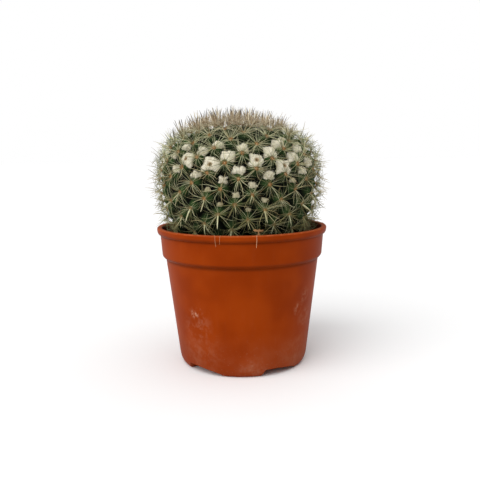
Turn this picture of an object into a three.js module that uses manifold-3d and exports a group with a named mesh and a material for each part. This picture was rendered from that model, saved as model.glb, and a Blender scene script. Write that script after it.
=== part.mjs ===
// A potted round cactus: a globe of spiral tubercles, each with a star of spines, in a plastic
// nursery pot. Millimetres, +Z up. The origin is under the middle of the pot, on the surface that
// it stands on, and the front is on -Y. Azimuths run from the front towards +X.
import * as THREE from 'three';
import { ConvexHull } from 'three/addons/math/ConvexHull.js';
import { mergeVertices } from 'three/addons/utils/BufferGeometryUtils.js';
import Module from 'manifold-3d';

const wasm = await Module();
wasm.setup();

// Pot: a rolled lip over a collar band, a shoulder, a tapered wall and a rounded heel
const RIM_RADIUS = 52.5;
const POT_HEIGHT = 85;
const WALL = 1.2;
const LIP_HEIGHT = 4.3;
const LIP_ROUND = 1;
const COLLAR_TOP_RADIUS = 50.6;
const COLLAR_LOW_RADIUS = 49.7;
const COLLAR_LOW_Z = 68.8;
const COLLAR_ROUND = 1.1;
const SHOULDER_RADIUS = 47.5;
const SHOULDER_Z = 65.9;
const HEEL_RADIUS = 40.4;
const HEEL_Z = 6.5;
const HEEL_BEND = [39.7, 0.9];
const FOOT_RADIUS = 37.3;
const FOOT_WIDTH = 2.9;
const FOOT_DRAFT = 0.3;
const FLOOR_Z = 4.4;
const FLOOR_THICKNESS = 1.6;
const FLOOR_CORNER = 2;
const POT_SEGMENTS = 80;

// Drainage: notches through the foot ring, and a round hole in the floor behind each of them
const NOTCH_COUNT = 5;
const NOTCH_AZIMUTH = 33.9;
const NOTCH_WIDTH_LOW = 25;
const NOTCH_WIDTH_HIGH = 18.6;
const NOTCH_ROUND = 1.4;
const NOTCH_LENGTH = 12;
const DRAIN_RADIUS = 3.5;
const DRAIN_RING_RADIUS = 25;
const CENTRE_DRAIN_RADIUS = 5;
const DRAIN_SIDES = 16;

// Soil
const SOIL_TOP_Z = 76;
const SOIL_CLEARANCE = 0.35;
const SOIL_BUMP = 0.7;
const SOIL_RINGS = [30, 34, 38, 41.5, 44.5, 47];
const SOIL_SEGMENTS = 56;

// Plant body: the envelope runs through the tips of the tubercles
const PLANT_X = -1.4;
const PLANT_RADIUS = 48;
const WIDEST_Z = 116;
const RISE_ABOVE = 32;
const FALL_BELOW = 55;
const ROUNDNESS = 2.3;
const DIMPLE_DEPTH = 2;
const DIMPLE_RADIUS = 9;
const MIDDLE_Z = 108;
const ENVELOPE_END_Z = 70;
const ENVELOPE_STEPS = 3000;

// Spiral order of the tubercles: each cell is small at the crown and grows to full size
const DIVERGENCE_DEG = 137.565;
const FIRST_AZIMUTH_DEG = 262.8;
const FIRST_ORDER = 4.374;
const FIRST_TUBERCLE = 5;
const CELL_AREA = 115.2;
const BUD_AREA = 8;
const BUD_REACH = 10.91;
const BUD_POWER = 1.384;
const LOWEST_TIP_Z = 82;
const TUBERCLE_DEPTH = 0.46;
const JOIN_SHARE = 0.36;

// Stem base: height and radius of its rings down to a blunt end, with the soil's gap at each
const STUMP = [
  { z: 73, radius: 30.5, gap: 0.8 },
  { z: 64, radius: 24, gap: 0.6 },
  { z: 57.5, radius: 13, gap: 0.5 },
];
const STUMP_END_Z = 55;
const STUMP_SIDES = 28;
const NECK_Z = 71;
const NECK_RADIUS = 32;
const HOLE_MOUTH_RADIUS = 35;

// Areoles and spines, at full size on a cell of FULL_CELL mm
const FULL_CELL = 11;
const AREOLE_RADIUS = 1.25;
const AREOLE_DOME = 0.6;
const SMALLEST_AREOLE = 0.45;
const SPINES_PER_AREOLE = [[0.8, 11], [0.5, 9], [0, 7]];
const SPINE_LENGTH = 9;
const SPINE_RISE_DEG = 20;
const CENTRAL_LENGTH = 9.6;
const CENTRAL_RISE_DEG = 36;
const CROWN_REACH = 30;
const CROWN_LIFT_DEG = 34;
const YOUNG_REACH = 20;
const SPINE_THICKNESS = 0.58;
const SHORTEST_SPINE = 2.5;
const LONGEST_SPAN = 54.3;
const SPINE_TRIES = 60;
const SPINE_GAP = 0.03;
const POT_GAP = 0.8;

// Wool tufts in the hollows above the tubercles, in a band below the crown
const WOOL_BAND_Z = 126;
const WOOL_BAND_HALF = 13;
const WOOL_LOWEST_Z = 98;
const WOOL_REACH = 3.6;
const WOOL_HEIGHT = 4.3;
const WOOL_TOP = 0.9;
const WOOL_PIT = 0.82;

const SEED = 20;

const DEG = Math.PI / 180;

// Seeded generator of numbers from 0 to 1
function makeRandom(seed) {
  let state = seed >>> 0;
  return () => {
    state = (state + 0x6d2b79f5) >>> 0;
    let t = Math.imul(state ^ (state >>> 15), 1 | state);
    t = (t + Math.imul(t ^ (t >>> 7), 61 | t)) ^ t;
    return ((t ^ (t >>> 14)) >>> 0) / 4294967296;
  };
}

const random = makeRandom(SEED);
const between = (low, high) => low + (high - low) * random();

// Solid helpers

function signedVolume(position, index) {
  let six = 0;
  const a = new THREE.Vector3();
  const b = new THREE.Vector3();
  const c = new THREE.Vector3();
  for (let i = 0; i < index.length; i += 3) {
    a.fromBufferAttribute(position, index[i]);
    b.fromBufferAttribute(position, index[i + 1]);
    c.fromBufferAttribute(position, index[i + 2]);
    six += a.dot(b.cross(c));
  }
  return six / 6;
}

// Merges shared vertices, drops triangles that a pole has flattened, and turns the faces out
function closedGeometry(source) {
  const bare = source.index ? source.toNonIndexed() : source.clone();
  for (const name of Object.keys(bare.attributes)) {
    if (name !== 'position') bare.deleteAttribute(name);
  }
  const merged = mergeVertices(bare, 1e-4);
  const old = merged.index.array;
  const index = [];
  for (let i = 0; i < old.length; i += 3) {
    const [a, b, c] = [old[i], old[i + 1], old[i + 2]];
    if (a !== b && b !== c && c !== a) index.push(a, b, c);
  }
  if (signedVolume(merged.attributes.position, index) < 0) index.reverse();
  merged.setIndex(index);
  return merged;
}

function toSolid(geometry) {
  const closed = closedGeometry(geometry);
  return new wasm.Manifold(new wasm.Mesh({
    numProp: 3,
    vertProperties: new Float32Array(closed.attributes.position.array),
    triVerts: new Uint32Array(closed.index.array),
  }));
}

function fromSolid(solid) {
  const mesh = solid.getMesh();
  const geometry = new THREE.BufferGeometry();
  geometry.setAttribute('position', new THREE.BufferAttribute(mesh.vertProperties, 3));
  geometry.setIndex(new THREE.BufferAttribute(mesh.triVerts, 1));
  return geometry;
}

// Turns a profile of [radius, height] points about the Z axis
function turned(profile, segments) {
  const points = profile.map(([r, z]) => new THREE.Vector2(r, z));
  return new THREE.LatheGeometry(points, segments).rotateX(Math.PI / 2);
}

// Points along a bend from start to end, pulled towards a corner
function bend(start, corner, end, steps) {
  const ends = [start, corner, end].map((point) => new THREE.Vector2(...point));
  return new THREE.QuadraticBezierCurve(...ends).getPoints(steps).map((p) => [p.x, p.y]);
}

// Point at a radius, azimuth and height, about a given vertical axis
function polar(radius, azimuth, z, axisX = 0) {
  return new THREE.Vector3(
    axisX + radius * Math.sin(azimuth), -radius * Math.cos(azimuth), z);
}

// Pot

const lipZ = POT_HEIGHT - LIP_HEIGHT;
const floorTop = FLOOR_Z + FLOOR_THICKNESS;

// Inside of the wall below the lip, down to the edge of the floor
function innerWall(inset = 0) {
  const step = WALL + inset;
  return [
    [COLLAR_LOW_RADIUS - step, COLLAR_LOW_Z],
    [SHOULDER_RADIUS - step, SHOULDER_Z - WALL / 2],
    [HEEL_RADIUS - step, HEEL_Z + WALL],
    [HEEL_RADIUS - FLOOR_CORNER - step, floorTop + inset],
  ];
}

function potProfile() {
  const footInner = FOOT_RADIUS - FOOT_WIDTH;
  const mouth = COLLAR_TOP_RADIUS - WALL;
  return [
    [0, FLOOR_Z],
    [footInner - FOOT_DRAFT, FLOOR_Z],
    [footInner, 0],
    ...bend([FOOT_RADIUS, 0], HEEL_BEND, [HEEL_RADIUS, HEEL_Z], 4),
    ...bend([SHOULDER_RADIUS, SHOULDER_Z], [COLLAR_LOW_RADIUS, SHOULDER_Z + COLLAR_ROUND],
      [COLLAR_LOW_RADIUS, COLLAR_LOW_Z], 2),
    ...bend([COLLAR_TOP_RADIUS, lipZ], [RIM_RADIUS, lipZ],
      [RIM_RADIUS, POT_HEIGHT - LIP_ROUND], 3),
    ...bend([RIM_RADIUS - LIP_ROUND / 3, POT_HEIGHT - LIP_ROUND / 3], [RIM_RADIUS, POT_HEIGHT],
      [RIM_RADIUS - LIP_ROUND, POT_HEIGHT], 1),
    ...bend([mouth + LIP_ROUND, POT_HEIGHT], [mouth, POT_HEIGHT],
      [mouth, POT_HEIGHT - LIP_ROUND], 2),
    ...innerWall(),
    [0, floorTop],
  ];
}

// A tapered tunnel with rounded upper corners, running outward through the foot ring
function notchSolid(azimuth) {
  const low = NOTCH_WIDTH_LOW / 2;
  const high = NOTCH_WIDTH_HIGH / 2;
  const flare = (low - high) / FLOOR_Z;
  const shape = new THREE.Shape();
  shape.moveTo(-low - flare, -1);
  shape.lineTo(low + flare, -1);
  shape.lineTo(high, FLOOR_Z - NOTCH_ROUND);
  shape.quadraticCurveTo(high, FLOOR_Z, high - NOTCH_ROUND, FLOOR_Z);
  shape.lineTo(NOTCH_ROUND - high, FLOOR_Z);
  shape.quadraticCurveTo(-high, FLOOR_Z, -high, FLOOR_Z - NOTCH_ROUND);
  shape.closePath();
  const tunnel = new THREE.ExtrudeGeometry(shape, {
    depth: NOTCH_LENGTH, bevelEnabled: false, curveSegments: 3,
  });
  tunnel.rotateX(Math.PI / 2);
  tunnel.translate(0, FOOT_WIDTH * 2 - FOOT_RADIUS, 0);
  tunnel.rotateZ(azimuth);
  return toSolid(tunnel);
}

function drainSolid(radius, distance, azimuth) {
  const hole = new THREE.CylinderGeometry(radius, radius, 3 * FLOOR_THICKNESS, DRAIN_SIDES);
  hole.rotateX(Math.PI / 2);
  const at = polar(distance, azimuth, FLOOR_Z);
  return toSolid(hole.translate(at.x, at.y, at.z));
}

function makePot() {
  let pot = toSolid(turned(potProfile(), POT_SEGMENTS));
  for (let i = 0; i < NOTCH_COUNT; i++) {
    const azimuth = (NOTCH_AZIMUTH + i * 360 / NOTCH_COUNT) * DEG;
    pot = pot.subtract(notchSolid(azimuth));
    pot = pot.subtract(drainSolid(DRAIN_RADIUS, DRAIN_RING_RADIUS, azimuth));
  }
  return fromSolid(pot.subtract(drainSolid(CENTRE_DRAIN_RADIUS, 0, 0)));
}

// Soil

function soilTop(x, y) {
  const broad = Math.sin(0.61 * x + 1.3) * Math.sin(0.53 * y + 0.4);
  const fine = Math.sin(0.73 * x - 0.47 * y);
  return SOIL_TOP_Z + SOIL_BUMP * (broad + 0.6 * fine);
}

// The plug that fills the pot, with a plain tapered hole for the base of the stem
function makeSoil() {
  const edge = COLLAR_LOW_RADIUS - WALL - SOIL_CLEARANCE;
  const profile = [
    [0, SOIL_TOP_Z],
    ...SOIL_RINGS.map((r) => [r, SOIL_TOP_Z]),
    [edge, SOIL_TOP_Z - 1],
    ...innerWall(SOIL_CLEARANCE),
    [0, floorTop + SOIL_CLEARANCE],
  ];
  const plug = closedGeometry(turned(profile, SOIL_SEGMENTS));
  const position = plug.attributes.position;
  for (let i = 0; i < position.count; i++) {
    if (position.getZ(i) > SOIL_TOP_Z - 0.1) {
      position.setZ(i, soilTop(position.getX(i), position.getY(i)));
    }
  }
  const steps = STUMP.map(({ z, radius, gap }) => [radius + gap, z - SOIL_CLEARANCE]);
  const above = SOIL_TOP_Z + 4 * SOIL_BUMP;
  const hole = turned([
    [0, above],
    [HOLE_MOUTH_RADIUS, above],
    [HOLE_MOUTH_RADIUS, SOIL_TOP_Z],
    ...steps,
    [0, STUMP_END_Z - SOIL_CLEARANCE],
  ], SOIL_SEGMENTS).translate(PLANT_X, 0, 0);
  return fromSolid(toSolid(plug).subtract(toSolid(hole)));
}

// The plant's envelope, tabled by the length along it from the middle of the crown

function envelopeRadius(z) {
  const half = z > WIDEST_Z ? RISE_ABOVE : FALL_BELOW;
  const t = Math.abs(z - WIDEST_Z) / half;
  return PLANT_RADIUS * Math.sqrt(Math.max(0, 1 - t ** ROUNDNESS));
}

function cellArea(s) {
  return CELL_AREA * (1 - Math.exp(-((s / BUD_REACH) ** BUD_POWER))) + BUD_AREA;
}

function tableEnvelope() {
  const top = WIDEST_Z + RISE_ABOVE;
  const rows = [];
  let s = 0;
  let order = FIRST_ORDER;
  let last = null;
  for (let i = 0; i <= ENVELOPE_STEPS; i++) {
    const z = top - (top - ENVELOPE_END_Z) * (i / ENVELOPE_STEPS) ** 1.6;
    const r = envelopeRadius(z);
    if (last) {
      const step = Math.hypot(r - last.r, z - last.z);
      s += step;
      order += Math.PI * (r + last.r) * step / cellArea(s - step / 2);
    }
    last = { r, z, s, order, lean: Math.atan2(r, z - MIDDLE_Z) };
    rows.push(last);
  }
  return rows;
}

const envelope = tableEnvelope();

// Place in the table where one of its columns, which all grow downwards, has a given value
function rowWhere(column, value) {
  let low = 0;
  let high = envelope.length - 1;
  while (high - low > 1) {
    const half = (low + high) >> 1;
    if (envelope[half][column] > value) high = half;
    else low = half;
  }
  const a = envelope[low];
  const b = envelope[high];
  const t = THREE.MathUtils.clamp((value - a[column]) / (b[column] - a[column]), 0, 1);
  const mix = (name) => a[name] + (b[name] - a[name]) * t;
  return { r: mix('r'), z: mix('z'), s: mix('s'), slope: Math.atan2(a.z - b.z, b.r - a.r) };
}

// Point on the envelope, with the directions across it, up it and out of it
function placeOn(row, azimuth) {
  const dimple = DIMPLE_DEPTH * Math.exp(-((row.r / DIMPLE_RADIUS) ** 2));
  const point = polar(row.r, azimuth, row.z - dimple, PLANT_X);
  const right = new THREE.Vector3(Math.cos(azimuth), Math.sin(azimuth), 0);
  const out = polar(Math.sin(row.slope), azimuth, Math.cos(row.slope));
  const up = new THREE.Vector3().crossVectors(out, right);
  return { point, right, up, out, s: row.s, z: row.z, size: Math.sqrt(cellArea(row.s)) };
}

function tubercleTips() {
  const tips = [];
  for (let order = FIRST_TUBERCLE; ; order++) {
    const row = rowWhere('order', order);
    if (row.z < LOWEST_TIP_Z) return tips;
    tips.push(placeOn(row, (FIRST_AZIMUTH_DEG + order * DIVERGENCE_DEG) * DEG));
  }
}

// Cells: each tubercle stands on the polygon of the hollows round it

const middle = new THREE.Vector3(PLANT_X, 0, MIDDLE_Z);

function directionOf(point) {
  return point.clone().sub(middle).normalize();
}

function hollowAt(direction) {
  const lean = Math.acos(THREE.MathUtils.clamp(direction.z, -1, 1));
  const place = placeOn(rowWhere('lean', lean), Math.atan2(direction.x, -direction.y));
  place.point.addScaledVector(place.out, -TUBERCLE_DEPTH * place.size);
  return place;
}

function edgesOf(face) {
  return [face.edge, face.edge.next, face.edge.next.next];
}

// Triangles between neighbouring tips, on the sphere round the plant's middle. The middle of each
// is a hollow, and where four tubercles meet, the two triangles between them share one.
function findCells(tips) {
  const directions = tips.map((tip) => directionOf(tip.point));
  const tipAt = new Map(directions.map((direction, i) => [direction, i]));
  const neck = [new THREE.Vector3(0, 0, -1)];
  for (let i = 0; i < STUMP_SIDES; i++) {
    const azimuth = i * 2 * Math.PI / STUMP_SIDES;
    neck.push(directionOf(polar(NECK_RADIUS, azimuth, NECK_Z, PLANT_X)));
  }
  const hull = new ConvexHull().setFromPoints([...directions, ...neck]);
  const faces = hull.faces.filter(
    (face) => edgesOf(face).some((edge) => tipAt.has(edge.head().point)));
  const corners = faces.map((face) => face.normal.clone().normalize());
  const indexOf = new Map(faces.map((face, i) => [face, i]));
  const owner = corners.map((_, i) => i);
  const find = (i) => (owner[i] === i ? i : find(owner[i]));
  for (const face of faces) {
    for (const edge of edgesOf(face)) {
      if (!indexOf.has(edge.twin.face)) continue;
      const a = find(indexOf.get(face));
      const b = find(indexOf.get(edge.twin.face));
      if (a === b) continue;
      const place = hollowAt(corners[a]);
      const apart = place.point.distanceTo(hollowAt(corners[b]).point);
      if (apart > JOIN_SHARE * place.size) continue;
      owner[b] = a;
      corners[a].add(corners[b]).normalize();
    }
  }
  const cells = tips.map(() => null);
  for (const face of faces) {
    for (const edge of edgesOf(face)) {
      const tip = tipAt.get(edge.tail().point);
      if (tip === undefined || cells[tip]) continue;
      cells[tip] = cellAround(edge, (other) => find(indexOf.get(other)));
    }
  }
  return { cells, hollows: corners.map(hollowAt) };
}

function cellAround(start, cornerOf) {
  const loop = [];
  let edge = start;
  do {
    const corner = cornerOf(edge.face);
    if (loop.at(-1) !== corner) loop.push(corner);
    edge = edge.prev.twin;
  } while (edge !== start);
  if (loop[0] === loop.at(-1)) loop.pop();
  return loop;
}

// The plant's surface, gathered vertex by vertex

const vertices = [];
const triangles = [];

function addVertex(point) {
  vertices.push(point);
  return vertices.length - 1;
}

// Fills the strip between two loops of { vertex, angle } that run the same way round
function stitch(inner, outer) {
  const turn = 2 * Math.PI;
  const lag = (end) => (((end.angle - inner[0].angle) % turn) + turn) % turn;
  const a = [0, ...inner.slice(1).map(lag), turn];
  const lags = outer.map(lag);
  const first = lags.indexOf(Math.min(...lags));
  const loop = outer.map((_, i) => outer[(first + i) % outer.length]);
  const b = [lag(loop.at(-1)) - turn, ...loop.map(lag)];
  let i = 0;
  let j = 0;
  while (i < inner.length || j < loop.length) {
    const insideNext = i < inner.length ? a[i] + a[i + 1] : Infinity;
    const outsideNext = j < loop.length ? b[j] + b[j + 1] : Infinity;
    const near = inner[i % inner.length].vertex;
    const far = loop.at(j - 1).vertex;
    if (outsideNext <= insideNext) {
      triangles.push([near, far, loop[j].vertex]);
      j += 1;
    } else {
      triangles.push([near, far, inner[(i + 1) % inner.length].vertex]);
      i += 1;
    }
  }
}

// Wool grows in the hollow above a tubercle, and below the main band only scraps of it are left
function woolSizes(tips, cells, hollows) {
  const sizes = new Map();
  tips.forEach((tip, i) => {
    const draw = random();
    const rise = (corner) => hollows[corner].point.clone().sub(tip.point).dot(tip.up);
    const above = cells[i].reduce((best, corner) => (rise(corner) > rise(best) ? corner : best));
    const { z } = hollows[above];
    const off = Math.abs(z - WOOL_BAND_Z) / WOOL_BAND_HALF;
    if (off < 1 && draw < 0.9) {
      sizes.set(above, 1 - 0.55 * off ** 2 - 0.2 * draw);
    } else if (z < WOOL_BAND_Z && z > WOOL_LOWEST_Z && draw < 0.35) {
      sizes.set(above, 0.32 + 0.3 * draw);
    }
  });
  return sizes;
}

// Loops of vertices round the tubercles. A hollow with wool is cut back to a small polygon, with
// one vertex on each groove that runs into it.
function layGrooves(cells, hollows, wool) {
  const made = new Map();
  const after = new Map();
  const vertexAt = (key, point) => {
    if (!made.has(key)) made.set(key, addVertex(point));
    return made.get(key);
  };
  const grooveVertex = (corner, other) => {
    const from = hollows[corner].point;
    const to = hollows[other].point;
    const reach = Math.min(WOOL_REACH * wool.get(corner), 0.4 * from.distanceTo(to));
    const point = from.clone().addScaledVector(to.clone().sub(from).normalize(), reach);
    return vertexAt(`${corner}>${other}`, point);
  };
  const loops = cells.map((cell) => cell.flatMap((corner, i) => {
    if (!wool.has(corner)) return [vertexAt(`${corner}`, hollows[corner].point)];
    const before = grooveVertex(corner, cell.at(i - 1));
    const next = grooveVertex(corner, cell[(i + 1) % cell.length]);
    if (!after.has(corner)) after.set(corner, new Map());
    after.get(corner).set(next, before);
    return [before, next];
  }));
  return { loops, after };
}

// A soft square cushion with a small pit in the middle
function raiseWool(hollow, size, after) {
  const loop = [[...after.keys()][0]];
  while (after.get(loop.at(-1)) !== loop[0]) loop.push(after.get(loop.at(-1)));
  const lift = WOOL_HEIGHT * (0.5 + 0.5 * size);
  const ring = loop.map((vertex) => {
    const spread = vertices[vertex].clone().sub(hollow.point).multiplyScalar(WOOL_TOP);
    return addVertex(hollow.point.clone().add(spread).addScaledVector(hollow.out, lift));
  });
  const pit = addVertex(hollow.point.clone().addScaledVector(hollow.out, lift * WOOL_PIT));
  loop.forEach((low, i) => {
    const lowNext = loop[(i + 1) % loop.length];
    const highNext = ring[(i + 1) % ring.length];
    triangles.push([low, lowNext, highNext], [low, highNext, ring[i]], [ring[i], highNext, pit]);
  });
}

// From the grooves round a tubercle up to a ring round its areole, which has a low dome
function raiseTubercle(tip, loop) {
  const share = Math.min(1, tip.size / FULL_CELL);
  const radius = AREOLE_RADIUS * Math.max(SMALLEST_AREOLE, share);
  const count = SPINES_PER_AREOLE.find(([least]) => share > least)[1];
  const step = 2 * Math.PI / count;
  const ring = [];
  for (let i = 0; i < count; i++) {
    const angle = -Math.PI / 2 - step / 2 + i * step;
    const point = tip.point.clone()
      .addScaledVector(tip.right, radius * Math.cos(angle))
      .addScaledVector(tip.up, radius * Math.sin(angle));
    ring.push({ vertex: addVertex(point), angle });
  }
  stitch(ring, loop.map((vertex) => {
    const offset = vertices[vertex].clone().sub(tip.point);
    return { vertex, angle: Math.atan2(offset.dot(tip.up), offset.dot(tip.right)) };
  }));
  const dome = tip.point.clone().addScaledVector(tip.out, AREOLE_DOME * radius / AREOLE_RADIUS);
  return { tip, ring, radius, centre: addVertex(dome) };
}

// Spines

// Gap between two needles, each { root, point, thick } and pointed at its far end
function needleGap(a, b) {
  const { clamp } = THREE.MathUtils;
  const alongA = a.point.clone().sub(a.root);
  const alongB = b.point.clone().sub(b.root);
  const apart = a.root.clone().sub(b.root);
  const aa = alongA.lengthSq();
  const bb = alongB.lengthSq();
  const ab = alongA.dot(alongB);
  const aw = alongA.dot(apart);
  const bw = alongB.dot(apart);
  const det = aa * bb - ab * ab;
  const guess = det > 1e-9 ? clamp((ab * bw - aw * bb) / det, 0, 1) : 0;
  const t = clamp((ab * guess + bw) / bb, 0, 1);
  const s = clamp((ab * t - aw) / aa, 0, 1);
  const gap = apart.addScaledVector(alongA, s).addScaledVector(alongB, -t).length();
  return gap - a.thick * (1 - s) - b.thick * (1 - t);
}

function distanceToNeedle(point, needle) {
  const line = new THREE.Line3(needle.root, needle.point);
  return line.closestPointToPoint(point, true, new THREE.Vector3()).distanceTo(point);
}

function hasRoom(point) {
  const span = Math.hypot(point.x, point.y);
  const wall = COLLAR_LOW_RADIUS - WALL - POT_GAP;
  const besideWall = point.z < POT_HEIGHT + POT_GAP && span > wall;
  return point.z > SOIL_TOP_Z + 2 * SOIL_BUMP && !besideWall && span < LONGEST_SPAN;
}

// Wanted angle, rise from the surface in degrees and length of one spine of an areole. The lowest
// is a central one that points down, and at the crown three of them stand up.
function spineAim(areole, fan) {
  const { tip, ring } = areole;
  const crown = Math.max(0, 1 - tip.s / CROWN_REACH);
  const upright = crown > 0.25 && fan % Math.round(ring.length / 3) === 0;
  const angle = ring[fan].angle + Math.PI / ring.length;
  const young = Math.min(1, 0.6 + tip.s / YOUNG_REACH);
  const lift = CROWN_LIFT_DEG * crown;
  if (fan === 0 || upright) {
    return { angle, rise: CENTRAL_RISE_DEG + lift, length: CENTRAL_LENGTH * young };
  }
  return { angle, rise: SPINE_RISE_DEG + lift, length: SPINE_LENGTH * young * (1 - 0.3 * crown) };
}

function drawNeedle(areole, root, aim, attempt) {
  const { tip } = areole;
  const loose = 1 + attempt / 12;
  const angle = aim.angle + between(-6, 6) * loose * DEG;
  const rise = THREE.MathUtils.clamp(aim.rise + between(-7, 9) * loose, 14, 84) * DEG;
  const shrink = Math.max(0, attempt / SPINE_TRIES - 1 / 3);
  const length = Math.max(SHORTEST_SPINE, aim.length * between(0.88, 1.06) * (1 - shrink));
  const along = tip.right.clone().multiplyScalar(Math.cos(angle) * Math.cos(rise))
    .addScaledVector(tip.up, Math.sin(angle) * Math.cos(rise))
    .addScaledVector(tip.out, Math.sin(rise));
  const point = root.clone().addScaledVector(along, length);
  return { root, point, thick: SPINE_THICKNESS * areole.radius / AREOLE_RADIUS };
}

function isClear(needle, balls, needles) {
  return [0.4, 0.7, 1].every((t) => hasRoom(needle.root.clone().lerp(needle.point, t)))
    && balls.every((ball) => distanceToNeedle(ball.at, needle) > ball.radius)
    && needles.every((other) => needleGap(needle, other) > SPINE_GAP);
}

// Raises one needle from each triangle of each areole. A needle turns, rises or shortens until it
// clears its neighbours, and one that finds no room is left out.
function raiseSpines(areoles, woolBalls) {
  const needlesOf = new Map(areoles.map((areole) => [areole, []]));
  for (const areole of areoles) {
    const isNear = (point) => point.distanceTo(areole.tip.point) < 2 * SPINE_LENGTH + 4;
    const neighbours = areoles.filter((other) => other !== areole && isNear(other.tip.point));
    const others = neighbours.flatMap((other) => needlesOf.get(other));
    const balls = [
      ...woolBalls.filter((ball) => isNear(ball.at)),
      ...neighbours.map((other) => ({ at: vertices[other.centre], radius: other.radius + 0.25 })),
    ];
    areole.ring.forEach((end, fan) => {
      const base = [areole.centre, end.vertex, areole.ring.at(fan + 1 - areole.ring.length).vertex];
      const root = new THREE.Vector3();
      for (const vertex of base) root.addScaledVector(vertices[vertex], 1 / 3);
      const aim = spineAim(areole, fan);
      let needle = null;
      for (let attempt = 0; attempt < SPINE_TRIES && !needle; attempt++) {
        const draw = drawNeedle(areole, root, aim, attempt);
        if (isClear(draw, balls, others)) needle = draw;
      }
      if (!needle) {
        triangles.push(base);
        return;
      }
      needlesOf.get(areole).push(needle);
      const point = addVertex(needle.point);
      const [a, b, c] = base;
      triangles.push([a, b, point], [b, c, point], [c, a, point]);
    });
  }
}

// The open edge under the lowest tubercles, as vertices in order round the stem
function lowestLoop(loops) {
  const edges = new Set();
  for (const loop of loops) {
    loop.forEach((vertex, i) => edges.add(`${vertex}>${loop[(i + 1) % loop.length]}`));
  }
  const after = new Map();
  for (const edge of edges) {
    const [from, to] = edge.split('>').map(Number);
    if (!edges.has(`${to}>${from}`)) after.set(from, to);
  }
  const lowest = [...after.keys()].reduce((a, b) => (vertices[a].z < vertices[b].z ? a : b));
  const rim = [lowest];
  while (after.get(rim.at(-1)) !== lowest) rim.push(after.get(rim.at(-1)));
  return rim;
}

// Below the lowest tubercles the stem tapers to its blunt end
function closeStump(loops) {
  const azimuthOf = (point) => Math.atan2(point.x - PLANT_X, -point.y);
  let upper = lowestLoop(loops).map((vertex) => ({ vertex, angle: azimuthOf(vertices[vertex]) }));
  for (const { z, radius } of STUMP) {
    const ring = [];
    for (let i = 0; i < STUMP_SIDES; i++) {
      const angle = i * 2 * Math.PI / STUMP_SIDES;
      ring.push({ vertex: addVertex(polar(radius, angle, z, PLANT_X)), angle });
    }
    stitch(upper, ring);
    upper = ring;
  }
  const end = addVertex(new THREE.Vector3(PLANT_X, 0, STUMP_END_Z));
  upper.forEach((side, i) => {
    triangles.push([side.vertex, end, upper[(i + 1) % upper.length].vertex]);
  });
}

function makeCactus() {
  const tips = tubercleTips();
  const { cells, hollows } = findCells(tips);
  const wool = woolSizes(tips, cells, hollows);
  const { loops, after } = layGrooves(cells, hollows, wool);
  for (const [corner, size] of wool) raiseWool(hollows[corner], size, after.get(corner));
  const areoles = tips.map((tip, i) => raiseTubercle(tip, loops[i]));
  const woolBalls = [...wool].map(([corner, size]) => ({
    at: hollows[corner].point.clone().addScaledVector(hollows[corner].out, WOOL_HEIGHT / 2),
    radius: WOOL_REACH * size + 0.3,
  }));
  raiseSpines(areoles, woolBalls);
  closeStump(loops);
  const geometry = new THREE.BufferGeometry().setFromPoints(vertices);
  geometry.setIndex(triangles.flat());
  return geometry;
}

function addPiece(group, name, geometry, color, roughness) {
  const material = new THREE.MeshStandardMaterial({ color, roughness, metalness: 0 });
  const mesh = new THREE.Mesh(geometry, material);
  mesh.name = name;
  group.add(mesh);
}

const pottedCactus = new THREE.Group();
addPiece(pottedCactus, 'pot', makePot(), 0x8f3a0c, 0.42);
addPiece(pottedCactus, 'soil', makeSoil(), 0x2a1c13, 0.95);
addPiece(pottedCactus, 'cactus', makeCactus(), 0x59674a, 0.75);

export default pottedCactus;
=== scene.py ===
"""Looks of a round cactus in a plastic nursery pot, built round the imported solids.

The plant is a globe of spiral tubercles. Each tubercle carries a star of needles, and tufts of
white wool fill the hollows between them in a band below the crown. The pot is burnt orange, with
a rolled lip, a collar and a notched foot.

Metres, +Z up. The origin is under the middle of the pot and the front is on -Y. Azimuths run from
the front towards +X.
"""

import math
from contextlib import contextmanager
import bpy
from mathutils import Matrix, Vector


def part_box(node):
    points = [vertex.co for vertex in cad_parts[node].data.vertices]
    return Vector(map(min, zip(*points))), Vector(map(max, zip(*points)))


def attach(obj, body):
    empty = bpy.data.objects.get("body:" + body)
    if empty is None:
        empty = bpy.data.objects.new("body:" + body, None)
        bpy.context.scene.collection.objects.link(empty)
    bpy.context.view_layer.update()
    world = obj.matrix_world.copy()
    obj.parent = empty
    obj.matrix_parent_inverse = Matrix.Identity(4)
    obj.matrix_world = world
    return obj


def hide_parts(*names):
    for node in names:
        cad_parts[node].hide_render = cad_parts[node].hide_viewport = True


bl_info = {
    "name": "Potted Round Cactus",
    "version": (1, 0, 0),
    "blender": (4, 5, 0),
    "location": "3D View > Sidebar > Cactus",
    "description": "Builds a round cactus with its needles, wool, soil and nursery pot",
    "category": "Add Mesh",
}

from types import SimpleNamespace

import bmesh
import bpy
import numpy as np
from mathutils import Matrix, Vector, noise

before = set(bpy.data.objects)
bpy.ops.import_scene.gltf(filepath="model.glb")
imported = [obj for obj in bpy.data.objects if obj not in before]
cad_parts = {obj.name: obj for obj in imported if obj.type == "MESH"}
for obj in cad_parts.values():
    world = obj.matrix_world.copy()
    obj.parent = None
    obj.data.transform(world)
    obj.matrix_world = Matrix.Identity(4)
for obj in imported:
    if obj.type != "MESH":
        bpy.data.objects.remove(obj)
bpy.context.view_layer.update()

BODY = "root"
MM = 0.001

# Pot: a lip over a collar band, a shoulder, a tapered wall and a rounded heel

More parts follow.
